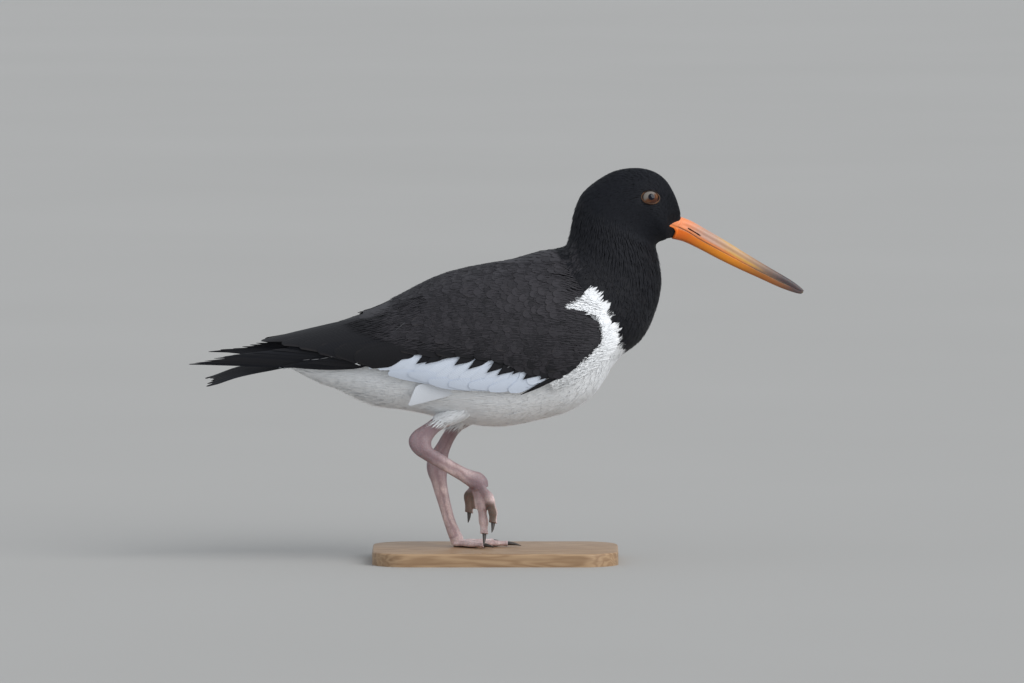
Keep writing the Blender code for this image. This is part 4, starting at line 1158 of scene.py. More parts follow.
# %% Thigh tufts
def make_thigh_coat():
    groups = []
    for side in (RIGHT, LEFT):
        thigh = Sheet(thigh_surface(side), (0.02, 0.02))
        probe, _, _, normal = thigh.frame(np.array([0.3]), np.array([0.0]))
        centre = thigh_surface(side)(np.array([0.3, 0.3]), np.array([0.0, math.pi])).mean(0)
        thigh.turn = 1 if (probe[0] - centre) @ normal[0] > 0 else -1
        u, v = scattered(thigh, (0.03, 0.85), (0, 2 * math.pi), constant(0.95))
        length = draw.uniform(5.5, 11.0, len(u)) * np.interp(u, (0, 0.3), (0.8, 1.0))
        tract = Tract(thigh, u, v, length, length * 0.06 + 0.6, draw.normal(0, 0.2, len(u)))
        grown = grow(tract, SPINDLE, slim, 1.0, draw.uniform(-0.3, 0.6, len(tract)), 0.15, curl=0.4)
        marking = np.tile((1.0, 0.0, 0.0), (len(tract), 1))
        roots = np.stack([tract.v / (4 * math.pi) + (0.5 if side == LEFT else 0.0), tract.u], -1)
        groups.append((grown, roots, marking))
    coat("coat_thighs", groups)


make_thigh_coat()

# %% [markdown]
# ## The folded wing
# A folded wing is a stack of tiers. Lowest are the primaries, whose dark tips reach past the tail, and the
# white covert row that shows as the long white bar. Black coverts lie over it with their tips hanging down,
# which cuts its upper edge into teeth. Long tertials cover the rear, small round coverts the shoulder, and
# scapulars join the wing to the back.

# %% Wing skin
CORE_DEPTH, CORE_THICKNESS, CORE_EDGE = 2.0, 6.3, 0.9


def wing_skin_place(side):
    sheet = wings[side]

    def place(share, around):
        x = blend(WING_CORE[0][0], WING_CORE[-1][0], share**1.2)
        upper, low_z = parts_of(at_x(WING_CORE, x))
        start, end = np.radians(upper), wing_angle(x, low_z)
        inner = around > 0.5
        run = np.where(inner, 2 - 2 * around, 2 * around)
        angle = blend(start, end, run)
        points, _, _, normal = sheet.frame(x, angle)
        bulge = np.sin(math.pi * run) ** 0.5 * np.minimum(1, share * 5 + 0.1) * (1 - 0.6 * share**2)
        depth = CORE_DEPTH + np.where(inner, (CORE_EDGE + CORE_THICKNESS * bulge), 0.0)
        return points - normal * depth[..., None]

    return place


def make_wing_skin(side, word):
    mesh = to_mesh("wing_skin_" + word, wrapped(60, 48, wing_skin_place(side)))
    points = points_of(mesh)
    below_bar = np.interp(points[:, 0], (-80, -60, 15, 40), (109, 111, 104, 103))
    white = ((points[:, 2] < below_bar) & (points[:, 0] > -70) & (points[:, 0] < 28)).astype(float)
    note(mesh, "vane", np.tile((0.0, 0.4, 0.3), (len(points), 1)))
    # The second number, 0.6, paints the white below the bar with bluish painted shade.
    note(mesh, "marking", np.stack([white, np.full(len(points), 0.6), np.zeros(len(points))], -1))
    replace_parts(show("wing_skin_" + word, mesh, PLUMAGE), "wing_" + word)


for side, word in ((RIGHT, "right"), (LEFT, "left")):
    make_wing_skin(side, word)

# %% [markdown]
# Long feathers are placed one by one, by the point in the side view where each root and each tip lies.
# A row's feathers lie between its first and last, and the tips follow a bow.

# %% Long feathers by row
# Each row: count, first root, last root, first tip, last tip, bow, width, depth of root, height of tip, roll,
# white, brown, worn edge.
WING_ROWS = {
    "inner_flight": (6, (-70, 116.0), (-44, 122.0), (-130, 110.6), (-92, 117.0), 0.0, 10.0, 3.0, -0.4, 0.15, 0, 0.25, 0.05),
    "tertial": (6, (-66, 140.0), (-52, 122), (-142.9, 126.0), (-86, 116.4), 1.2, 17.0, 0.1, 0.7, 0.10, 0, 0.40, 0.10),
    "upper_bar": (10, (-36, 129.0), (50, 120.0), (-70.0, 121.6), (31, 108.8), 2.6, 11.0, 1.8, 0.35, 0.08, 0, 0.55, 0.10),
    "middle": (12, (-34, 140), (52, 131), (-64.0, 129.5), (36, 117.0), 0.0, 11.5, 1.6, 0.28, 0.05, 0, 0.8, 0.10),
    "upper": (12, (-36, 151), (52, 143), (-68.0, 138.0), (34, 130.5), 0.5, 11.5, 1.5, 0.25, 0.05, 0, 0.85, 0.10),
}
PRIMARIES, PRIMARY_ROOTS = 10, ((-86.0, 113.6), (-66.0, 119.5))
# The edge that the tips of the primaries follow, from the longest inwards.
PRIMARY_TIPS = {
    RIGHT: ((-187.4, 112.0), (-176.0, 114.9), (-163.0, 117.4), (-150.0, 119.0), (-127.0, 122.2)),
    LEFT: ((-193.0, 111.2), (-176.0, 113.8), (-161.0, 117.4), (-150.0, 121.2), (-138.0, 124.4)),
}
FAR_TERTIAL_TIP = (-151.0, 120.4)
# The white bar has two rows. The lower one lies along this edge; the tips of the upper one are given one by one.
BAR_EDGE = (
    (-66.0, 103.3), (-52.0, 103.0), (-46.0, 101.2), (-40.0, 98.2), (-25.0, 96.6), (-13.0, 95.4),
    (-5.0, 93.5), (5.0, 92.3), (15.0, 93.0), (23.0, 95.6), (31.0, 99.5),
)
BAR_TIPS = (
    (-77.0, 110.2), (-71.5, 109.6), (-65.0, 108.6), (-57.5, 107.6), (-50.0, 106.2), (-43.0, 104.6),
    (-36.0, 103.2), (-29.0, 102.6), (-22.0, 102.0), (-15.0, 101.2), (-8.0, 100.0), (-1.0, 98.8),
    (6.0, 98.2), (13.0, 98.4), (20.0, 100.2),
)
BAR_WIDTHS = (5.0, 7.0, 9.5) + (12.2,) * (len(BAR_TIPS) - 3)
# The black tips that cut the bar's upper edge into teeth.
BAR_TEETH = (
    (-70.0, 112.6), (-61.0, 114.4), (-48.2, 112.4), (-42.6, 112.4), (-34.5, 114.6), (-24.9, 111.5),
    (-16.7, 109.1), (-5.4, 107.0), (1.1, 105.5), (10.0, 106.1), (16.7, 102.9), (26.8, 102.8),
)
TOOTH_REACH = (15.5, 10.5)
FRONT_TIPS = (
    (22.0, 107.2), (27.5, 106.0), (32.5, 103.6), (36.0, 104.6), (40.0, 106.2), (43.8, 108.6),
    (47.2, 111.6), (50.6, 114.6), (54.0, 117.8), (57.2, 121.2), (59.4, 125.2),
)
FRONT_REACH, FRONT_LIMIT = (9.0, 9.5), 60.5
LOOSE_ROOT, LOOSE_TIP, LOOSE_WIDTH = (-15.0, 103.4), (-51.0, 94.3), 12.6
# Small pale marks of wear on the near wing: root, tip, width and how white.
WORN_MARKS = (
    ((-52.6, 139.7), (-61.1, 131.8), 0.55, 0.10), ((-96.2, 116.9), (-100.2, 116.6), 0.6, 0.22),
    ((-101.5, 116.3), (-106.5, 115.4), 0.55, 0.16), ((-107.5, 115.2), (-112.0, 114.9), 0.6, 0.20),
    ((-113.0, 115.0), (-117.3, 114.7), 0.5, 0.14), ((-81.9, 114.2), (-84.8, 112.3), 0.9, 0.7),
    ((-82.0, 111.4), (-85.2, 112.9), 0.9, 0.8), ((-2.0, 112.5), (-4.5, 111.5), 0.8, 0.2),
    ((9.0, 111.0), (7.0, 110.0), 0.7, 0.15),
)


def between(side, roots, tips, width):
    """A tract of feathers from roots to tips, both given in the side view."""
    roots, tips = np.asarray(roots, float), np.asarray(tips, float)
    root_angle, tip_angle = wing_angle(*roots.T), wing_angle(*tips.T)
    middle_x, middle_angle = (roots[:, 0] + tips[:, 0]) / 2, (root_angle + tip_angle) / 2
    _, lengthways, crossways, _ = wings[side].frame(middle_x, middle_angle)
    back = (roots[:, 0] - tips[:, 0]) * np.linalg.norm(lengthways, axis=-1)
    down = (tip_angle - root_angle) * np.linalg.norm(crossways, axis=-1)
    return Tract(wings[side], roots[:, 0], root_angle, np.hypot(back, down), width, np.arctan2(down, back))


def marks(count, white, brown, worn):
    values = np.tile((float(white), float(brown), float(worn)), (count, 1))
    values[:, 1:] = np.clip(values[:, 1:] + draw.normal(0, 0.08, (count, 2)) * (worn > 0), 0, 1)
    return values


def wing_roots(tract):
    """The place of roots on the wing's unwrap."""
    return np.stack([(tract.u + 130.0) / 200.0, tract.v / math.pi], -1)


def flat_place(side):
    """A nearly upright plane beside the flank, for the white feather that hangs out of line."""

    def place(x, z):
        return np.stack([x, side * (36.0 + (z - 98.0) * 0.4 + (x + 50.0) * 0.06), z], -1)

    return place


def make_loose_feather():
    sheet = Sheet(flat_place(RIGHT), (0.4, 0.4))
    back, down = LOOSE_ROOT[0] - LOOSE_TIP[0], LOOSE_TIP[1] - LOOSE_ROOT[1]
    tract = Tract(sheet, [LOOSE_ROOT[0]], [LOOSE_ROOT[1]], math.hypot(back, down), LOOSE_WIDTH, math.atan2(down, back))
    grown = grow(tract, SQUARE_VANE, square, 3.0, 0.0, 0.3, bow=0.0, fray=0.012, skew=0.36)
    # The second number, 0.35, paints it with some bluish painted shade.
    return grown, np.array([[0.5, 0.95]]), marks(1, 1, 0.35, 0)


def make_long_feathers(side, word):
    groups = []
    share = np.linspace(0, 1, PRIMARIES)
    tips = along(PRIMARY_TIPS[side], share * (len(PRIMARY_TIPS[side]) - 1))
    roots = blend(np.array(PRIMARY_ROOTS[0]), np.array(PRIMARY_ROOTS[1]), share[:, None])
    tract = between(side, roots, tips, 8.6 if side == RIGHT else 10.4)
    grown = grow(tract, LONG_VANE, pointed, 3.4, -0.6 + 0.25 * share, 0.22, camber=0.02, roll=0.2, bow=0.6, fray=0.004)
    groups.append((grown, wing_roots(tract), marks(len(tract), 0, 0.2, 0.05)))
    for name, row in WING_ROWS.items():
        count, root_a, root_b, tip_a, tip_b, bow, width, sink, rise, roll, white, brown, worn = row
        if side == LEFT and name == "tertial":
            tip_a = FAR_TERTIAL_TIP
        share = np.linspace(0, 1, count)[:, None]
        roots = blend(np.array(root_a), np.array(root_b), share)
        tips = blend(np.array(tip_a), np.array(tip_b), share)
        tips[:, 1] += bow * np.sin(math.pi * share[:, 0])
        roots += draw.normal(0, 0.5, roots.shape)
        tips[1:] += draw.normal(0, 0.8, tips[1:].shape) * (1, 0.4)
        tract = between(side, roots, tips, width)
        profile, bow_tip = (pointed, 0.6) if name == "inner_flight" else (oval, 0.5)
        lift = rise + np.linspace(0, 0.12, count)
        grown = grow(tract, LONG_VANE, profile, sink, lift, 0.22, camber=0.02, roll=roll, bow=bow_tip, fray=0.004)
        groups.append((grown, wing_roots(tract), marks(count, white, brown, worn)))
    edge_x, edge_z = np.array(BAR_EDGE).T
    tip_x = np.linspace(-65.2, 8.0, 7)
    root_x = np.minimum(tip_x + 42.0, 31.0)
    tips = np.stack([tip_x, np.interp(tip_x, edge_x, edge_z) + 3.4], -1)
    roots = np.stack([root_x, np.interp(root_x, edge_x, edge_z) + 5.0], -1)
    tract = between(side, roots, tips, 8.5)
    grown = grow(tract, LONG_VANE, oval, 1.8, 0.22, 0.12, camber=0.02, roll=0.03, bow=0.4, fray=0.006)
    # The second number paints this white row with bluish painted shade.
    groups.append((grown, wing_roots(tract), marks(len(tips), 1, 0.8, 0)))
    tips = np.array(BAR_TIPS)
    roots = tips + (31.0, 11.5)
    roots[:, 0] = np.minimum(roots[:, 0], 26.0 + 0.3 * tips[:, 0])
    tract = between(side, roots, tips, np.array(BAR_WIDTHS))
    lift = -0.3 + 0.6 * smooth((-60 - tips[:, 0]) / 10)
    grown = grow(tract, LONG_VANE, oval, 1.9, lift, 0.10, camber=0.02, roll=0.03, bow=0.5, fray=0.012)
    # The second number paints this white row with bluish painted shade.
    groups.append((grown, wing_roots(tract), marks(len(tips), 1, 0.7, 0)))
    tips = np.array(BAR_TEETH)
    tract = between(side, tips + TOOTH_REACH, tips, draw.uniform(6.0, 8.5, len(tips)))
    grown = grow(tract, LONG_VANE, pointed, 2.0, 0.45, 0.22, roll=0.1, bow=0.7, fray=0.02)
    groups.append((grown, wing_roots(tract), marks(len(tips), 0, 0.4, 0.1)))
    tips = np.array(FRONT_TIPS)
    roots = tips + FRONT_REACH
    roots[:, 0] = np.minimum(roots[:, 0], FRONT_LIMIT)
    tract = between(side, roots, tips, 8.0)
    grown = grow(tract, FINE_VANE, oval, 1.2, 0.0, 0.12, camber=0.01, fray=0.02)
    groups.append((grown, wing_roots(tract), marks(len(tips), 0, 0.7, 0.05)))
    tract = between(side, [(42.0, 106.0)], [(15.3, 93.9)], 2.9)
    grown = grow(tract, LONG_VANE, pointed, 1.6, 0.7, 0.25, bow=0.6)
    groups.append((grown, wing_roots(tract), marks(1, 0, 0.4, 0.1)))
    if side == RIGHT:
        groups.append(make_loose_feather())
        roots, tips, widths, whites = zip(*WORN_MARKS)
        tract = between(side, roots, tips, np.array(widths))
        grown = grow(tract, SPINDLE, slim, 0.3, 0.95, 0.12)
        groups.append((grown, wing_roots(tract), np.array([(white, 0.0, 0.0) for white in whites])))
    coat("wing_feathers_" + word, groups)


for side, word in ((RIGHT, "right"), (LEFT, "left")):
    make_long_feathers(side, word)

# %% [markdown]
# The shoulder is covered by small round coverts and the back by larger scapulars. They are scattered like
# the body's feathers, but on the wing's surface, and grow longer towards the tail.

# %% Small coverts, scapulars and mantle
# No loose barb grows below this line of the side view.
BARB_LIMIT = (
    (-96.0, 141.0), (-84.0, 134.0), (-66.0, 128.0), (-56.0, 124.5), (-48.0, 121.0), (-30.0, 120.5), (-9.0, 118.0),
    (7.0, 114.5), (20.0, 111.0), (31.0, 109.5), (40.0, 106.5), (50.0, 113.0), (57.0, 119.5), (62.0, 125.5), (66.0, 132.0),
)


def make_coverts(side, word):
    def on_shoulder(u, v, points):
        upper, low_z = parts_of(at_x(WING_CORE, u))
        lower_limit = np.interp(points[:, 0], (-40, 0, 25, 33, 40, 45, 50, 57, 62, 66), (140, 124, 113, 110, 107, 109, 112.5, 119, 123.5, 128))
        return (v > np.radians(upper) - 0.05) & (points[:, 2] > lower_limit) & (points[:, 2] < 162)

    def on_back(u, v, points):
        upper, _ = parts_of(at_x(WING_CORE, u))
        return (v < np.radians(upper) + 0.42) & (u > -66 + 5 * smooth((0.6 - v) / 0.4)) & (points[:, 2] > 120)

    def off_white(tract):
        for share in (0.95, 0.45):
            spots = tract.tips(share)
            tract.keep((whiteness(spots) < 0.5) | (spots[:, 2] < 141))

    groups = []
    u, v = scattered(wings[side], (-34.0, 66.0), (0.6, 2.2), constant(2.8), keep=on_shoulder)
    size = np.interp(u, (-34, 10, 66), (12.0, 10.0, 7.0)) * draw.uniform(0.9, 1.15, len(u))
    tract = Tract(wings[side], u, v, size, size * 0.74, draw.normal(0.10, 0.06, len(u)))
    off_white(tract)
    rise = np.interp(tract.u, (34, 46), (0.28, 0.06))
    grown = grow(tract, FINE_VANE, oval, 0.55, rise, 0.12, camber=0.01, fray=0.02)
    groups.append((grown, wing_roots(tract), marks(len(tract), 0, 0.75, 0.04)))
    u, v = scattered(wings[side], (-66.0, 47.0), (0.015, 1.25), constant(3.9), keep=on_back)
    size = np.interp(u, (-66, 0, 47), (23.0, 18.0, 11.0)) * draw.uniform(0.9, 1.15, len(u))
    heading = draw.normal(0.03, 0.05, len(u)) + 0.14 * smooth((u - 10) / 40)
    tract = Tract(wings[side], u, v, size, size * 0.64, heading)
    off_white(tract)
    rise = np.interp(tract.v, (0.3, 0.9), (0.25, 0.45)) - 0.8 * smooth((-36 - tract.u) / 28)
    grown = grow(tract, FINE_VANE, oval, 0.8, rise, 0.12, camber=0.01, fray=0.02)
    groups.append((grown, wing_roots(tract), marks(len(tract), 0, 0.9, 0.08)))

    def over_both(u, v, points):
        x, z = side_view(points)
        return (z > np.interp(x, *np.array(BARB_LIMIT).T)) & (z < 175) & ((u > -60) | (v > 0.62))

    # Fine loose barbs over all of them hide where one feather ends.
    u, v = scattered(wings[side], (-92.0, 64.0), (0.03, 2.2), constant(1.3), keep=over_both)
    length = draw.uniform(4.5, 7.5, len(u))
    tract = Tract(wings[side], u, v, length, 0.8 + 0.04 * length, draw.normal(0.05, 0.07, len(u)))
    off_white(tract)
    over_tertials = 0.6 * smooth((-56 - tract.u) / 10)
    grown = grow(tract, SPINDLE, slim, 0.15 - over_tertials, draw.uniform(0.35, 0.6, len(tract)) + over_tertials, 0.10)
    marking = marks(len(tract), 0, 0.85, 0.04) * np.stack([tract.u * 0, np.interp(tract.u, (-92, -60), (0.45, 1)), tract.u * 0 + 1], -1)
    groups.append((grown, wing_roots(tract), marking))
    coat("wing_coverts_" + word, groups)


for side, word in ((RIGHT, "right"), (LEFT, "left")):
    make_coverts(side, word)

# %% [markdown]
# In front of the bend of the wing the white breast feathers lie over its edge, so that the wing seems to be
# tucked into a pocket of down. These tufts start deep, at the body, and end on top of the black coverts.

# %% White edge in front of the wing
WING_FRONT = (
    (43.0, 147.4), (51.0, 146.6), (59.2, 143.9), (63.8, 138.0), (65.6, 132.5), (64.6, 125.0),
    (60.0, 118.8), (52.5, 112.2), (45.6, 105.6), (39.0, 102.2), (33.0, 99.6),
)


def make_pocket(side, word):
    def on_patch(u, v, points):
        return (whiteness(points) > 0.5) & (points[:, 2] > 145.5)

    path = np.array(WING_FRONT)
    groups = []
    for ahead, sink, rise in ((0.0, 2.4, 0.55), (1.6, 3.2, 0.2), (3.2, 4.0, -0.4), (4.8, 4.8, -1.3), (6.4, 5.6, -2.4)):
        t = np.linspace(0, 1, 320) ** 1.15 * (len(path) - 1) + draw.normal(0, 0.03, 320)
        edge = along(path, np.clip(t, 0, len(path) - 1))
        way = along(path, np.clip(t + 0.05, 0, len(path) - 1)) - along(path, np.clip(t - 0.05, 0, len(path) - 1))
        outward = unit(np.stack([-way[:, 1], way[:, 0]], -1))
        length = draw.uniform(4.0, 6.5, len(t))
        tips = edge + outward * (ahead - 0.8) + draw.normal(0, 0.5, edge.shape)
        upper = smooth((3.0 - t) / 1.2)
        lean = unit(blend(outward * 0.8 + (0.35, 0.75), np.array((1.0, 0.22)), upper[:, None]))
        roots = tips + lean * length[:, None]
        shown = inside(WHITE_EDGE, *roots.T)
        tract = between(side, roots[shown], tips[shown], 1.0)
        height = blend(rise, max(0.85 - 0.2 * ahead, rise), upper[shown]) + draw.normal(0, 0.12, len(tract))
        grown = grow(tract, SPINDLE, slim, sink, height, 0.14)
        groups.append((grown, wing_roots(tract), marks(len(tract), 1, 0, 0)))
    u, v = scattered(wings[side], (38.0, 66.0), (0.03, 2.2), constant(0.95), keep=on_patch)
    tract = Tract(wings[side], u, v, draw.uniform(3.5, 5.5, len(u)), 1.0, draw.normal(0.15, 0.15, len(u)))
    tract.keep(whiteness(tract.tips()) > 0.5)
    grown = grow(tract, SPINDLE, slim, 0.6, draw.uniform(0.45, 0.75, len(tract)), 0.14)
    groups.append((grown, wing_roots(tract), marks(len(tract), 1, 0, 0)))
    coat("coat_pocket_" + word, groups)


for side, word in ((RIGHT, "right"), (LEFT, "left")):
    make_pocket(side, word)

# %% [markdown]
# ## The tail
# Twelve feathers lie like a low roof, the middle pair on top. White coverts cover their roots above and
# below. In life the tail is white at its root and black towards its tip, and folded it shows black.

# %% Tail feathers and coverts
TAIL_TIPS = (-177.0, -174.0, -172.5, -172.0, -173.5, -176.0)
TAIL_SLOTS, TAIL_ROOT_FAN = (0.08, 0.68), 0.8


def make_tail():
    groups = []
    for slot in range(len(TAIL_TIPS) - 1, -1, -1):
        for side in (RIGHT, LEFT):
            across = side * blend(*TAIL_SLOTS, slot / (len(TAIL_TIPS) - 1))
            root_x, root_across = TAIL_ROOT_X - 3.0, across * TAIL_ROOT_FAN
            root = tail_place(np.array([root_x]), np.array([root_across]))[0]
            tip = tail_place(np.array([TAIL_TIPS[slot]]), np.array([across]))[0]
            run = tip - root
            sideways = run[1] - root[1] * 0.5
            tract = Tract(tail, [root_x], [root_across], np.linalg.norm(run), 9.2, math.atan2(sideways * 0.3, -run[0]))
            level = 0.4 - 0.36 * (slot + (0.5 if side == RIGHT else 0.0))
            grown = grow(tract, LONG_VANE, pointed, 0.5 + 0.3 * slot, level, 0.3, roll=-0.2 * side, bow=0.5, fray=0.006)
            groups.append((grown, np.array([[0.5 + across / 2, 0.3 + 0.05 * slot]]), marks(1, 0, 0.35, 0.15)))
    for top in (True, False):
        count = 60
        x = draw.uniform(-122, -108, count)
        across = draw.uniform(-0.9, 0.9, count)
        length = draw.uniform(8.0, 12.0, count)
        sheet = tail if top else Sheet(tail_place, (0.4, 0.01), -1)
        tract = Tract(sheet, x, across, length, length * 0.36, draw.normal(0, 0.05, count))
        sink = 0.5 if top else 1.0
        rise = np.interp(x, (-122, -108), (2.0, 4.2)) if top else np.interp(x, (-122, -108), (2.0, 3.2))
        grown = grow(tract, SMALL_VANE, oval, sink, rise, 0.2, fray=0.03)
        groups.append((grown, np.stack([0.5 + across / 2, (x + 180) / 80], -1), marks(count, 1, 0, 0)))
    coat("tail_feathers", groups, ("tail",))


make_tail()

# %% [markdown]
# ## The bill
# A long straight chisel: deep orange at its root, yellower in the middle, dusky at the tip, and paler along
# the ridge. Each half is a grid wrapped from the mouth line round the outside, and the nostril is cut out
# of the upper half. The colours follow two attributes: the share along the bill and the height on it.

# %% Bill stations and finish
BILL = (
    (113.3, 202.2, 107.8, 188.8, 4.9, 0.42),
    (120.0, 199.5, 115.1, 187.0, 4.5, 0.50),
    (128.6, 194.6, 124.3, 182.7, 4.1, 0.57),
    (140.1, 187.9, 135.9, 176.6, 3.7, 0.57),
    (152.3, 180.3, 148.4, 170.5, 3.2, 0.57),
    (164.5, 172.9, 161.2, 164.7, 2.5, 0.57),
    (175.5, 166.5, 171.9, 159.8, 1.9, 0.56),
    (182.2, 162.3, 179.8, 156.8, 1.5, 0.54),
    (186.8, 158.7, 185.6, 155.2, 1.1, 0.51),
    (188.2, 157.2, 187.7, 155.8, 0.5, 0.50),
)
MOUTH_GAP = 0.12


def bill_place(upper):
    def place(share, around):
        t = share * (len(BILL) - 1)
        top_x, top_z, low_x, low_z, half, mouth = parts_of(along(BILL, t))
        rise_x, rise_z = (top_x - low_x) / 2, (top_z - low_z) / 2
        deep = np.hypot(rise_x, rise_z)
        level = 1 - 2 * mouth + (1 if upper else -1) * MOUTH_GAP / 2 / deep
        corner = np.arccos(level)
        start, end = (-corner, corner) if upper else (corner, 2 * math.pi - corner)
        outer = np.minimum(around / 0.8, 1.0)
        angle = blend(start, end, outer)
        cos, sin = np.cos(angle), rounded(np.sin(angle), 0.85)
        groove = np.exp(-(((cos - 0.42) / 0.16) ** 2)) * smooth(share * 9) * (1 - smooth((share - 0.3) / 0.35))
        width = half * (1 - (0.11 * groove if upper else 0.0))
        back = np.clip((around - 0.8) / 0.2, 0, 1)
        y = np.where(around > 0.8, width * sin * (1 - 2 * back), width * sin)
        x = (top_x + low_x) / 2 + rise_x * cos
        z = (top_z + low_z) / 2 + rise_z * cos
        return np.stack([x, y, z], -1)

    return place


def bill_finish():
    finish = Finish("bill_horn", roughness=0.36, Specular_IOR_Level=0.4, Subsurface_Weight=0.05)
    share, height, dark = finish.attribute("horn")
    streak = finish.noise(finish.place(60, 400, 400), 1.0, 3.0)
    fine = finish.noise(finish.place(1, 1, 1), 420.0, 2.0)
    # The lower half: red-orange at the root, golden, then brown.
    lower = finish.mix(share.ramp(0.05, 0.36), (0.90, 0.18, 0.016), (0.87, 0.29, 0.022))
    lower = finish.mix(share.ramp(0.38, 0.58), lower, (0.42, 0.150, 0.034))
    lower = finish.mix(share.ramp(0.55, 0.85), lower, (0.105, 0.080, 0.078))
    edge = (0.16 - height).ramp(0.0, 0.13)
    lower = finish.mix(edge * (0.55 - share.ramp(0.45, 0.8) * 0.55), lower, (0.42, 0.10, 0.010))
    # The upper half: salmon, a greyish groove, a yellowish painted highlight on the ridge, then dusky; the pale greyish
    # pink along its top is a painted whitish sheen.
    # Painted sheen: from the root onwards the top of the upper half turns pale greyish pink.
    upper = finish.mix(share.ramp(0.04, 0.24), (0.92, 0.30, 0.125), (0.50, 0.30, 0.22))
    upper = finish.mix(share.ramp(0.24, 0.40), upper, (0.50, 0.295, 0.155))
    upper = finish.mix(share.ramp(0.40, 0.60), upper, (0.20, 0.130, 0.094))
    upper = finish.mix(share.ramp(0.54, 0.70), upper, (0.052, 0.043, 0.046))
    near_mouth = (0.62 - height).ramp(-0.04, 0.10) * (1 - share.ramp(0.40, 0.55))
    upper = finish.mix(near_mouth * 0.75, upper, (0.88, 0.25, 0.060))
    rise = (height + (streak - 0.5) * 0.16 + share * 0.06).ramp(0.42, 0.52)
    colour = finish.mix(rise, lower, upper)
    # A golden streak in the middle of the bill, a pale one beyond it, and a groove ahead of the nostril.
    level = height + share * 0.14 - 0.66
    gold = (1 - (share - 0.44).absolute().ramp(0.03, 0.14)) * (1 - level.absolute().ramp(0.02, 0.12))
    colour = finish.mix(gold * 0.75, colour, (0.62, 0.34, 0.050))
    pale = (1 - (share - 0.62).absolute().ramp(0.06, 0.16)) * (1 - (height - 0.46).absolute().ramp(0.01, 0.09))
    colour = finish.mix(pale * 0.5, colour, (0.30, 0.20, 0.125))
    groove = (1 - (share - 0.27).absolute().ramp(0.03, 0.10)) * (1 - (height - 0.62).absolute().ramp(0.03, 0.10))
    colour = finish.mix(groove * 0.6, colour, (0.52, 0.30, 0.22))
    # A painted highlight: a yellowish spot on top of the ridge, about a third of the way along.
    ridge = (1 - (share - 0.36).absolute().ramp(0.02, 0.10)) * height.ramp(0.80, 0.95)
    colour = finish.mix(ridge * 0.6, colour, (0.66, 0.41, 0.16))
    tip = share.ramp(0.90, 1.0) * (1 - height.ramp(0.3, 0.7))
    colour = finish.mix(tip * 0.6, colour, (0.28, 0.24, 0.10))
    colour = finish.brighten(colour, 0.92 + fine * 0.16)
    # Painted shade: dark along the mouth line near the root and inside the nostril slit.
    colour = finish.mix(dark, colour, (0.050, 0.016, 0.008))
    return finish.set(Base_Color=colour, Roughness=0.30 + fine * 0.16, Normal=finish.bump(streak, 0.10, 0.0002))


# %% Both halves of the bill
NOSTRIL_T, NOSTRIL_SHARE = 1.38, 0.38
NOSTRIL_SIZE = (8.8, 2.6, 0.85)


def bill_marks(mesh):
    """The share along the bill, the height on it, and where painted shade darkens the mouth line and the nostril."""
    points = points_of(mesh)
    steps = np.linspace(0, len(BILL) - 1, 240)
    top_x, top_z, low_x, low_z, half, mouth = parts_of(along(BILL, steps))
    middle = np.stack([(top_x + low_x) / 2, (top_z + low_z) / 2], -1)
    nearest = np.argmin(((points[:, None, ::2] - middle[None]) ** 2).sum(-1), 1)
    top, low = np.stack([top_x, top_z], -1)[nearest], np.stack([low_x, low_z], -1)[nearest]
    rise = top - low
    height = ((points[:, ::2] - low) * rise).sum(-1) / (rise**2).sum(-1)
    share = steps[nearest] / (len(BILL) - 1)
    # Painted shade along the mouth line near the root, and in the nostril's slot.
    mouth_line_shade = (1 - smooth(np.abs(height - (1 - mouth[nearest])) / 0.035)) * (1 - smooth((share - 0.22) / 0.2))
    centre, ahead = nostril_line()
    beyond = points[:, ::2] - centre
    far, aside = beyond @ ahead, beyond @ (-ahead[1], ahead[0])
    nostril_shade = (1 - smooth((np.abs(far) / NOSTRIL_SIZE[0] * 2 - 0.95) / 0.1)) * (1 - smooth((np.abs(aside) - 0.3) / 0.2))
    nostril_shade *= 0.55 + 0.45 * smooth((np.abs(far) - 1.2) / 1.6)
    note(mesh, "horn", np.stack([share, height, np.maximum(mouth_line_shade * 0.6, nostril_shade)], -1))


def nostril_line():
    """The middle of the nostril in the side view, and the way it points."""
    top_x, top_z, low_x, low_z, _, _ = along(BILL, np.array(NOSTRIL_T))
    ahead = along(BILL, np.array(NOSTRIL_T + 1))
    centre = np.array([blend(top_x, low_x, NOSTRIL_SHARE), blend(top_z, low_z, NOSTRIL_SHARE)])
    return centre, unit(np.array([ahead[0] - top_x, ahead[1] - top_z]))


def nostril(side):
    """A long slot, cut into the side of the upper half."""
    (x, z), ahead = nostril_line()
    half = along(BILL, np.array(NOSTRIL_T))[4]
    cutter = bmesh.new()
    bmesh.ops.create_uvsphere(cutter, u_segments=24, v_segments=16, radius=0.5 * MM)
    bmesh.ops.scale(cutter, verts=cutter.verts, vec=NOSTRIL_SIZE)
    turn = Vector((ahead[0], 0, ahead[1])).to_track_quat("X", "Z")
    bmesh.ops.rotate(cutter, verts=cutter.verts, matrix=turn.to_matrix())
    bmesh.ops.translate(cutter, verts=cutter.verts, vec=Vector(in_scene((x, side * half * 0.95, z))))
    return cutter


def cut_away(obj, cutter_mesh):
    cutter = bpy.data.objects.new("cutter", cutter_mesh)
    bpy.context.scene.collection.objects.link(cutter)
    cut = obj.modifiers.new("cut", "BOOLEAN")
    cut.operation, cut.solver, cut.object = "DIFFERENCE", "MANIFOLD", cutter
    bpy.context.view_layer.update()
    made = bpy.data.meshes.new_from_object(obj.evaluated_get(bpy.context.evaluated_depsgraph_get()))
    obj.modifiers.clear()
    bpy.data.objects.remove(cutter)
    obj.data = made


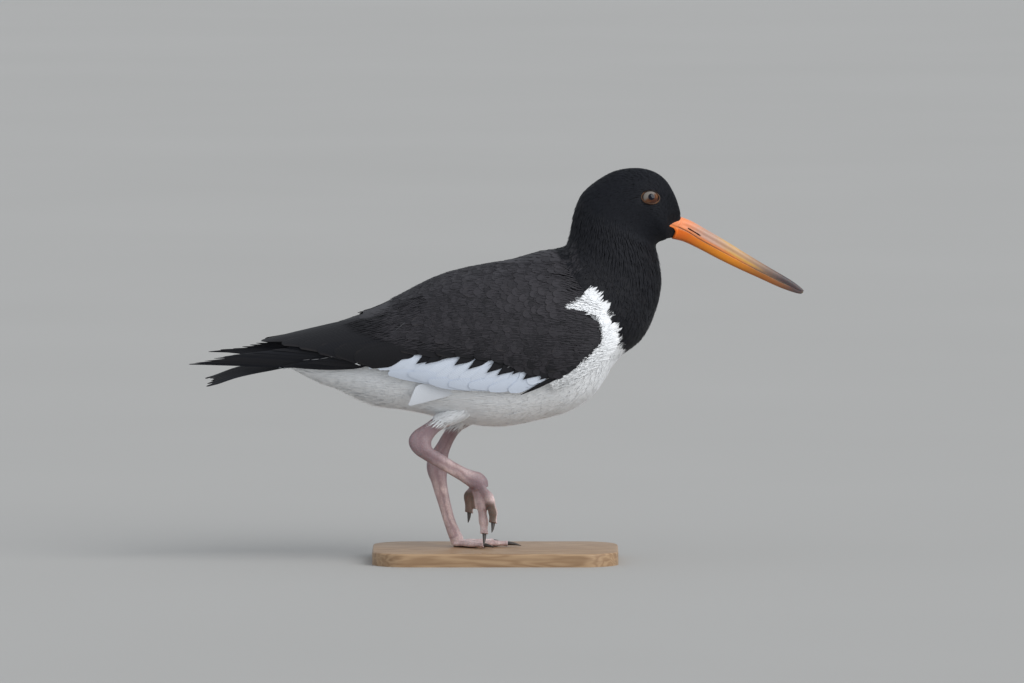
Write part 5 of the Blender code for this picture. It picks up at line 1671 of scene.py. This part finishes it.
def face_width(x, z):
    """How far the face stands out at points of the side view, near the root of the bill."""
    t, angle = np.meshgrid(np.linspace(20.0, BODY_END, 60), np.linspace(0.3, 3.0, 90))
    face = body_place(t.ravel(), angle.ravel())
    nearest = np.argmin((face[:, 0] - x[:, None]) ** 2 + (face[:, 2] - z[:, None]) ** 2, 1)
    return face[nearest, 1]


def gape_place(side):
    """The bare corner of the mouth: a thin sheet on the face, from its rear edge forward into the bill."""
    front = np.array([(114.5, 200.6), (110.0, 189.2)])

    def place(share, around):
        rear = along(GAPE_REAR, share * (len(GAPE_REAR) - 1))
        run = np.where(around < 0.5, around * 2, 2 - around * 2)
        spot = blend(rear, blend(front[0], front[1], share[:, None]), run[:, None] ** 1.5)
        face = np.minimum(face_width(spot[:, 0], spot[:, 1]), 12.0)
        height = np.where(around < 0.5, 0.30, -0.8) * np.minimum(1.0, run * 6) * np.minimum(1.0, share * 12)
        height = height - 1.2 * smooth((run - 0.7) / 0.3)
        return np.stack([spot[:, 0], side * (face + height), spot[:, 1]], -1)

    return place


def make_bill():
    horn = bill_finish()
    shape = wrapped(110, 40, bill_place(True))
    upper = show("bill_upper_half", to_mesh("bill_upper_half", shape), horn)
    for side in (RIGHT, LEFT):
        cut_away(upper, to_mesh("nostril", nostril(side)))
    upper.data.shade_smooth()
    bill_marks(upper.data)
    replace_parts(upper, "bill_upper")
    lower = show("bill_lower_half", to_mesh("bill_lower_half", wrapped(110, 40, bill_place(False))), horn)
    bill_marks(lower.data)
    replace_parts(lower, "bill_lower")
    gape = to_mesh("gape", *(wrapped(40, 40, gape_place(side)) for side in (RIGHT, LEFT)))
    bill_marks(gape)
    show("gape", gape, horn)
    print("bill:", len(upper.data.polygons), len(lower.data.polygons), "faces")


make_bill()

# %% [markdown]
# ## Legs and feet
# The bare legs are dull pink with a net of fine scales. Each leg is lofted through the same stations as the
# solid, its three toes are added, and a voxel remesh fuses them so that the webs between the toes' roots
# are smooth. The soles of the lifted foot are brown, as the photo shows.

# %% Toes and claws
TOES = {
    "inner": (38.0, (12.5, 9.5), 6.5),
    "middle": (1.0, (13.0, 10.5, 8.0), 8.0),
    "outer": (-36.0, (11.0, 9.0, 7.0), 6.5),
}
TOE_HALF_WIDTH, TOE_HALF_HEIGHT, TOE_CENTRE, TOE_TIP_SHARE = 3.3, 2.3, 1.9, 0.66
CLAW_HALF_WIDTH, CLAW_HALF_HEIGHT = 1.15, 1.25
STANDING = ((1.0, 0.95, 0.9), (0.0, 0.0, 0.0), 5.0)
LIFTED = ((1.15, 0.2, -0.1), (5.0, 7.0, 6.0), 6.0)
LIFTED_YAW, LIFTED_JOINT, LIFTED_DOWN = math.radians(54.0), (-10.8, -11.4, 39.4), (0.26, 0.0, -1.0)
STANDING_CENTRE = (-23.9, 6.4, 0.0)
CUT_BACK = 0.3
# The webs between the toes' roots: lengths, half widths and half height.
WEBS = {RIGHT: ((9.0, 7.5), (4.0, 4.8, 5.0, 4.4, 3.2), 1.2), LEFT: ((5.0, 5.0), (4.0, 4.0, 4.2, 3.6, 2.6), 0.95)}


def on_floor(points):
    return np.array(STANDING_CENTRE) + points * (1, -1, 1)


def hanging(points):
    dorsal = np.array([math.cos(LIFTED_YAW), math.sin(LIFTED_YAW), 0])
    inward = np.array([-math.sin(LIFTED_YAW), math.cos(LIFTED_YAW), 0])
    down = unit(np.array(LIFTED_DOWN))
    x, y, z = points[..., :1], points[..., 1:2], points[..., 2:] - TOE_CENTRE
    return np.array(LIFTED_JOINT) + down * x + inward * y + dorsal * z


def toe_line(angle, lengths, pose):
    """Points along a toe, its directions, and the heading and pitch it ends with."""
    pitch, point = 0.0, np.array([0, 0, TOE_CENTRE])
    points, ways = [point], [np.array([math.cos(angle), math.sin(angle), 0])]
    for length, kept, curl in zip(lengths, pose[0], pose[1]):
        pitch += math.radians(curl)
        heading = np.array([math.cos(angle * kept), math.sin(angle * kept), 0])
        way = heading * math.cos(pitch) - np.array([0, 0, 1]) * math.sin(pitch)
        points += [point + way * length / 2, point + way * length]
        ways += [way, way]
        point = points[-1]
    return np.array(points), np.array(ways), heading, pitch


def limb_place(points, ways, widths, heights, to_world, knuckles=0.0):
    """A limb along a line in the foot's own frame, with an upright oval section."""

    def place(share, around):
        t = share * (len(points) - 1)
        centre, way = along(points, t), unit(along(ways, t))
        half, tall = along(np.array(widths)[:, None], t), along(np.array(heights)[:, None], t)
        across = unit(np.cross((0, 0, 1.0), way))
        rise = np.cross(way, across)
        angle = around[:, None] * 2 * math.pi
        scute = 1 + knuckles * np.sin(share[:, None] * 2 * math.pi * 15) * np.maximum(np.sin(angle), 0)
        pad = 1 + knuckles * 1.5 * np.cos(share[:, None] * 2 * math.pi * (len(points) - 1) / 2) * np.maximum(-np.sin(angle), 0)
        corner = centre + across * half * np.cos(angle) + rise * tall * np.sin(angle) * scute * pad
        return to_world(corner)

    return place


# %% Finishes of legs and claws
def leg_finish():
    finish = Finish("leg_skin", roughness=0.5, Specular_IOR_Level=0.4, Subsurface_Weight=0.06)
    sole, shade, across = finish.attribute("leg")
    where = finish.place(1, 1, 1)
    scales = finish.node("ShaderNodeTexVoronoi", {"feature": "DISTANCE_TO_EDGE"}, {"Vector": where, "Scale": 620.0})
    patches = finish.noise(where, 110.0, 3.0)
    folds = finish.noise(finish.place(500, 500, 90), 1.0, 2.0)
    pink = finish.mix(patches.ramp(0.35, 0.68), (0.50, 0.37, 0.36), (0.74, 0.57, 0.55))
    # Painted shade: the far leg's upper part and the near leg's knee and ankle are made darker.
    pink = finish.mix(shade, pink, (0.20, 0.145, 0.165))
    # Lengthwise: a dark line down the middle, and darker sides, painted shade where the leg turns away.
    line = 1 - (across + (patches - 0.5) * 1.4).absolute().ramp(0.0, 0.42)
    pink = finish.mix(line * 0.5, pink, (0.20, 0.125, 0.14))
    # Painted shade: darker towards the leg's front and back edges.
    pink = finish.mix(across.absolute().ramp(0.62, 1.0) * 0.5, pink, (0.20, 0.14, 0.16))
    pink = finish.mix(folds.ramp(0.5, 0.75) * 0.35, pink, (0.24, 0.15, 0.16))
    pink = finish.mix((1 - scales.ramp(0.0, 0.09)) * 0.35, pink, (0.19, 0.115, 0.12))
    brown = finish.mix(patches.ramp(0.3, 0.7), (0.085, 0.06, 0.045), (0.16, 0.115, 0.09))
    colour = finish.mix(sole, pink, brown)
    return finish.set(Base_Color=colour, Roughness=0.42 + patches * 0.2, Normal=finish.bump(scales.ramp(0.0, 0.12) + folds * 0.6 - line, 0.35, 0.0003))


def claw_finish():
    finish = Finish("claw_horn", roughness=0.38)
    streak = finish.noise(finish.place(900, 900, 300), 1.0, 2.0)
    return finish.set(Base_Color=finish.mix(streak, (0.022, 0.018, 0.016), (0.06, 0.048, 0.04)), Roughness=0.3 + streak * 0.2)


# %% Markings of the legs
def leg_marks(mesh, side):
    """Where the sole is brown, where painted shade darkens the skin, and how far across the leg each point lies."""
    points, normals = points_of(mesh), normals_of(mesh)
    x, z = points[:, 0], points[:, 2]
    front_x, front_z, back_x, back_z, _, _ = parts_of(along(LEGS[side], np.linspace(0, len(LEGS[side]) - 1, 100)))
    middle = np.stack([(front_x + back_x) / 2, (front_z + back_z) / 2], -1)
    spoke = np.stack([front_x - back_x, front_z - back_z], -1) / 2
    nearest = np.argmin(((points[:, None, ::2] - middle[None]) ** 2).sum(-1), 1)
    across = ((points[:, ::2] - middle[nearest]) * spoke[nearest]).sum(-1) / (spoke[nearest] ** 2).sum(-1)
    if side == LEFT:
        sole = (z < 0.6).astype(float)
        # Painted shade: darker towards the top of the far leg.
        shade = 0.62 * smooth((z - 34) / 12)
        on_leg = smooth((z - 4) / 4)
    else:
        dorsal = np.array([math.cos(LIFTED_YAW), math.sin(LIFTED_YAW), 0])
        inward = np.array([-dorsal[1], dorsal[0], 0])
        own = (points - LIFTED_JOINT) @ np.linalg.inv(np.stack([unit(np.array(LIFTED_DOWN)), inward, dorsal]))
        starts, lateral = np.where(own[:, 1] > 0, 2.0, 9.0), np.abs(own[:, 1])
        sole = smooth((-normals @ dorsal - 0.1) / 0.4) * smooth((lateral - 3.0) / 1.6) * smooth((own[:, 0] - starts) / 4)
        # Painted shade at the ankle and at the knee.
        ankle = smooth((z - 30) / 8) * smooth((52 - z) / 10) * smooth((x + 22) / 8)
        knee = smooth((z - 48) / 8) * smooth((-26 - x) / 10)
        shade = np.clip(0.8 * ankle + 0.75 * knee, 0, 1)
        on_leg = smooth((z - 35) / 6)
    note(mesh, "leg", np.stack([sole, shade, across * on_leg + (1 - on_leg) * 0.5], -1))


# %% Build both legs
def make_legs():
    skin, horn = leg_finish(), claw_finish()
    jobs = ((RIGHT, "right", hanging, LIFTED), (LEFT, "left", on_floor, STANDING))
    for side, word, to_world, pose in jobs:
        last = len(LEGS[side]) - 1
        shapes = [wrapped(120, 40, lambda s, a: leg_place(side, blend(-0.3, last, s), a * 2 * math.pi))]
        claws = []
        for angle, lengths, claw in TOES.values():
            points, ways, heading, pitch = toe_line(math.radians(angle), lengths, pose)
            girth = np.linspace(1.0, TOE_TIP_SHARE, len(points)) * np.where(np.arange(len(points)) % 2, 0.94, 1.12)
            half_width = TOE_HALF_WIDTH * (1.15 if side == RIGHT else 1.0)
            limb = limb_place(points, ways, half_width * girth, TOE_HALF_HEIGHT * girth, to_world, 0.05)
            shapes.append(wrapped(60, 28, limb))
            nail, nail_ways = [points[-1] - ways[-1] * 1.2, points[-1] + ways[-1] * CUT_BACK], [ways[-1]] * 2
            for _ in range(3):
                pitch += math.radians(pose[2])
                step = heading * math.cos(pitch) - np.array([0, 0, 1]) * math.sin(pitch)
                nail.append(nail[-1] + step * claw / 3)
                nail_ways.append(step)
            shares = np.array((1.0, 1.0, 0.82, 0.55, 0.12))
            nail_place = limb_place(np.array(nail), np.array(nail_ways), CLAW_HALF_WIDTH * shares, CLAW_HALF_HEIGHT * shares, to_world)
            claws.append(wrapped(20, 16, nail_place))
        for between_toes in (19.0, -18.0):
            lengths, widths, height = WEBS[side]
            points, ways, _, _ = toe_line(math.radians(between_toes), lengths, pose)
            web = limb_place(points, ways, np.array(widths), np.full(5, height), to_world)
            shapes.append(wrapped(24, 20, web))
        mesh = remesh(to_mesh("leg_" + word, *shapes), 0.36, 2)
        if side == LEFT:
            points = points_of(mesh)
            points[:, 2] = np.maximum(points[:, 2], 0.0)
            mesh.vertices.foreach_set("co", in_scene(points).astype(np.float32).ravel())
        leg_marks(mesh, side)
        leg = show("leg_skin_" + word, mesh, skin)
        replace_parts(leg, "shank_" + word, "tarsus_" + word, "foot_" + word)
        nails = show("claws_" + word, to_mesh("claws_" + word, *claws), horn)
        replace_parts(nails, *(f"claw_{word}_{toe}" for toe in TOES))
        print("leg", word, len(mesh.polygons), "faces")


make_legs()

# %% [markdown]
# ## The wooden base
# A plain oiled board with rounded corners and softened edges carries the bird. It starts as a cube, and two
# bevels do the rest: a large one on the upright edges and a small one round the top.

# %% Base
BASE_LENGTH, BASE_WIDTH, BASE_THICKNESS, BASE_CORNER, BASE_EDGE = 150.0, 94.0, 8.0, 22.0, 1.2


def wood_finish():
    finish = Finish("oiled_wood", roughness=0.45, Specular_IOR_Level=0.4)
    where = finish.place(1.2, 9.0, 9.0)
    rings = finish.noise(where, 9.0, 3.0)
    fine = finish.noise(finish.place(18, 420, 420), 1.0, 3.0)
    bands = (rings * 60.0 + fine * 1.5).sine() * 0.5 + 0.5
    colour = finish.mix(bands, (0.30, 0.185, 0.10), (0.41, 0.27, 0.155))
    colour = finish.mix(fine.ramp(0.45, 0.8) * 0.45, colour, (0.20, 0.115, 0.06))
    return finish.set(Base_Color=colour, Roughness=0.38 + fine * 0.2, Normal=finish.bump(fine + bands * 0.3, 0.2, 0.0002))


def make_base():
    board = bmesh.new()
    bmesh.ops.create_cube(board, size=1.0)
    bmesh.ops.scale(board, verts=board.verts, vec=Vector((BASE_LENGTH, BASE_WIDTH, BASE_THICKNESS)) * MM)
    bmesh.ops.translate(board, verts=board.verts, vec=(0, 0, BASE_THICKNESS * MM / 2))
    upright = [e for e in board.edges if abs(e.verts[0].co.z - e.verts[1].co.z) > 0.001]
    bmesh.ops.bevel(board, geom=upright, offset=BASE_CORNER * MM, segments=16, profile=0.5, affect="EDGES", material=-1)
    top = [e for e in board.edges if all(v.co.z > 0.0079 for v in e.verts)]
    bmesh.ops.bevel(board, geom=top, offset=BASE_EDGE * MM, segments=4, profile=0.5, affect="EDGES", material=-1)
    mesh = to_mesh("display_base", board)
    obj = show("display_base", mesh, wood_finish())
    obj.data.set_sharp_from_angle(angle=math.radians(30))
    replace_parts(obj, "stand_base")


make_base()

# %% [markdown]
# ## Floor, light and camera
# The floor is a plain pale plane, large enough to fill the view. Light is soft and even, as under a bright
# overcast sky: a pale surround and one very wide sun from above and in front. The camera stands low and far
# away, as the photographer's long lens does.

# %% Stage
def make_stage():
    floor = bmesh.new()
    bmesh.ops.create_grid(floor, x_segments=1, y_segments=1, size=60.0)
    mesh = to_mesh("floor", floor)
    finish = Finish("floor_paint", roughness=0.9)
    dust = finish.noise(finish.place(1, 1, 1), 2.0, 2.0)
    mesh.materials.append(finish.set(Base_Color=finish.mix(dust, (0.40, 0.39, 0.37), (0.43, 0.42, 0.40))))
    ground = bpy.data.objects.new("floor", mesh)
    bpy.context.scene.collection.objects.link(ground)


def make_light():
    world = bpy.data.worlds.new("overcast")
    world.use_nodes = True
    sky = world.node_tree.nodes["Background"]
    sky.inputs[0].default_value, sky.inputs[1].default_value = (0.86, 0.92, 1.0, 1.0), 0.60
    bpy.context.scene.world = world
    for name, energy, angle, direction in (
        ("key", 2.25, 50.0, (-1.0, 0.80, -0.88)), ("fill", 0.15, 80.0, (0.9, 0.6, -0.8))
    ):
        lamp = bpy.data.lights.new(name, "SUN")
        lamp.energy, lamp.angle = energy, math.radians(angle)
        obj = bpy.data.objects.new(name, lamp)
        obj.rotation_mode = "QUATERNION"
        obj.rotation_quaternion = Vector(direction).to_track_quat("-Z", "Y")
        bpy.context.scene.collection.objects.link(obj)


def make_camera():
    target, distance, elevation = Vector((0.0102, 0.0, 0.1343)), 8.0, math.radians(4.0)
    lens_data = bpy.data.cameras.new("camera")
    lens_data.sensor_width = 36.0
    lens_data.lens = 36.0 * distance / 0.625
    lens_data.clip_start, lens_data.clip_end = 0.1, 200.0
    camera = bpy.data.objects.new("camera", lens_data)
    back = Vector((0, -math.cos(elevation), math.sin(elevation)))
    camera.location = target + back * distance
    camera.rotation_mode = "QUATERNION"
    camera.rotation_quaternion = (-back).to_track_quat("-Z", "Y")
    bpy.context.scene.collection.objects.link(camera)
    bpy.context.scene.camera = camera
    bpy.context.scene.view_settings.view_transform = "Standard"


make_stage()
make_light()
make_camera()
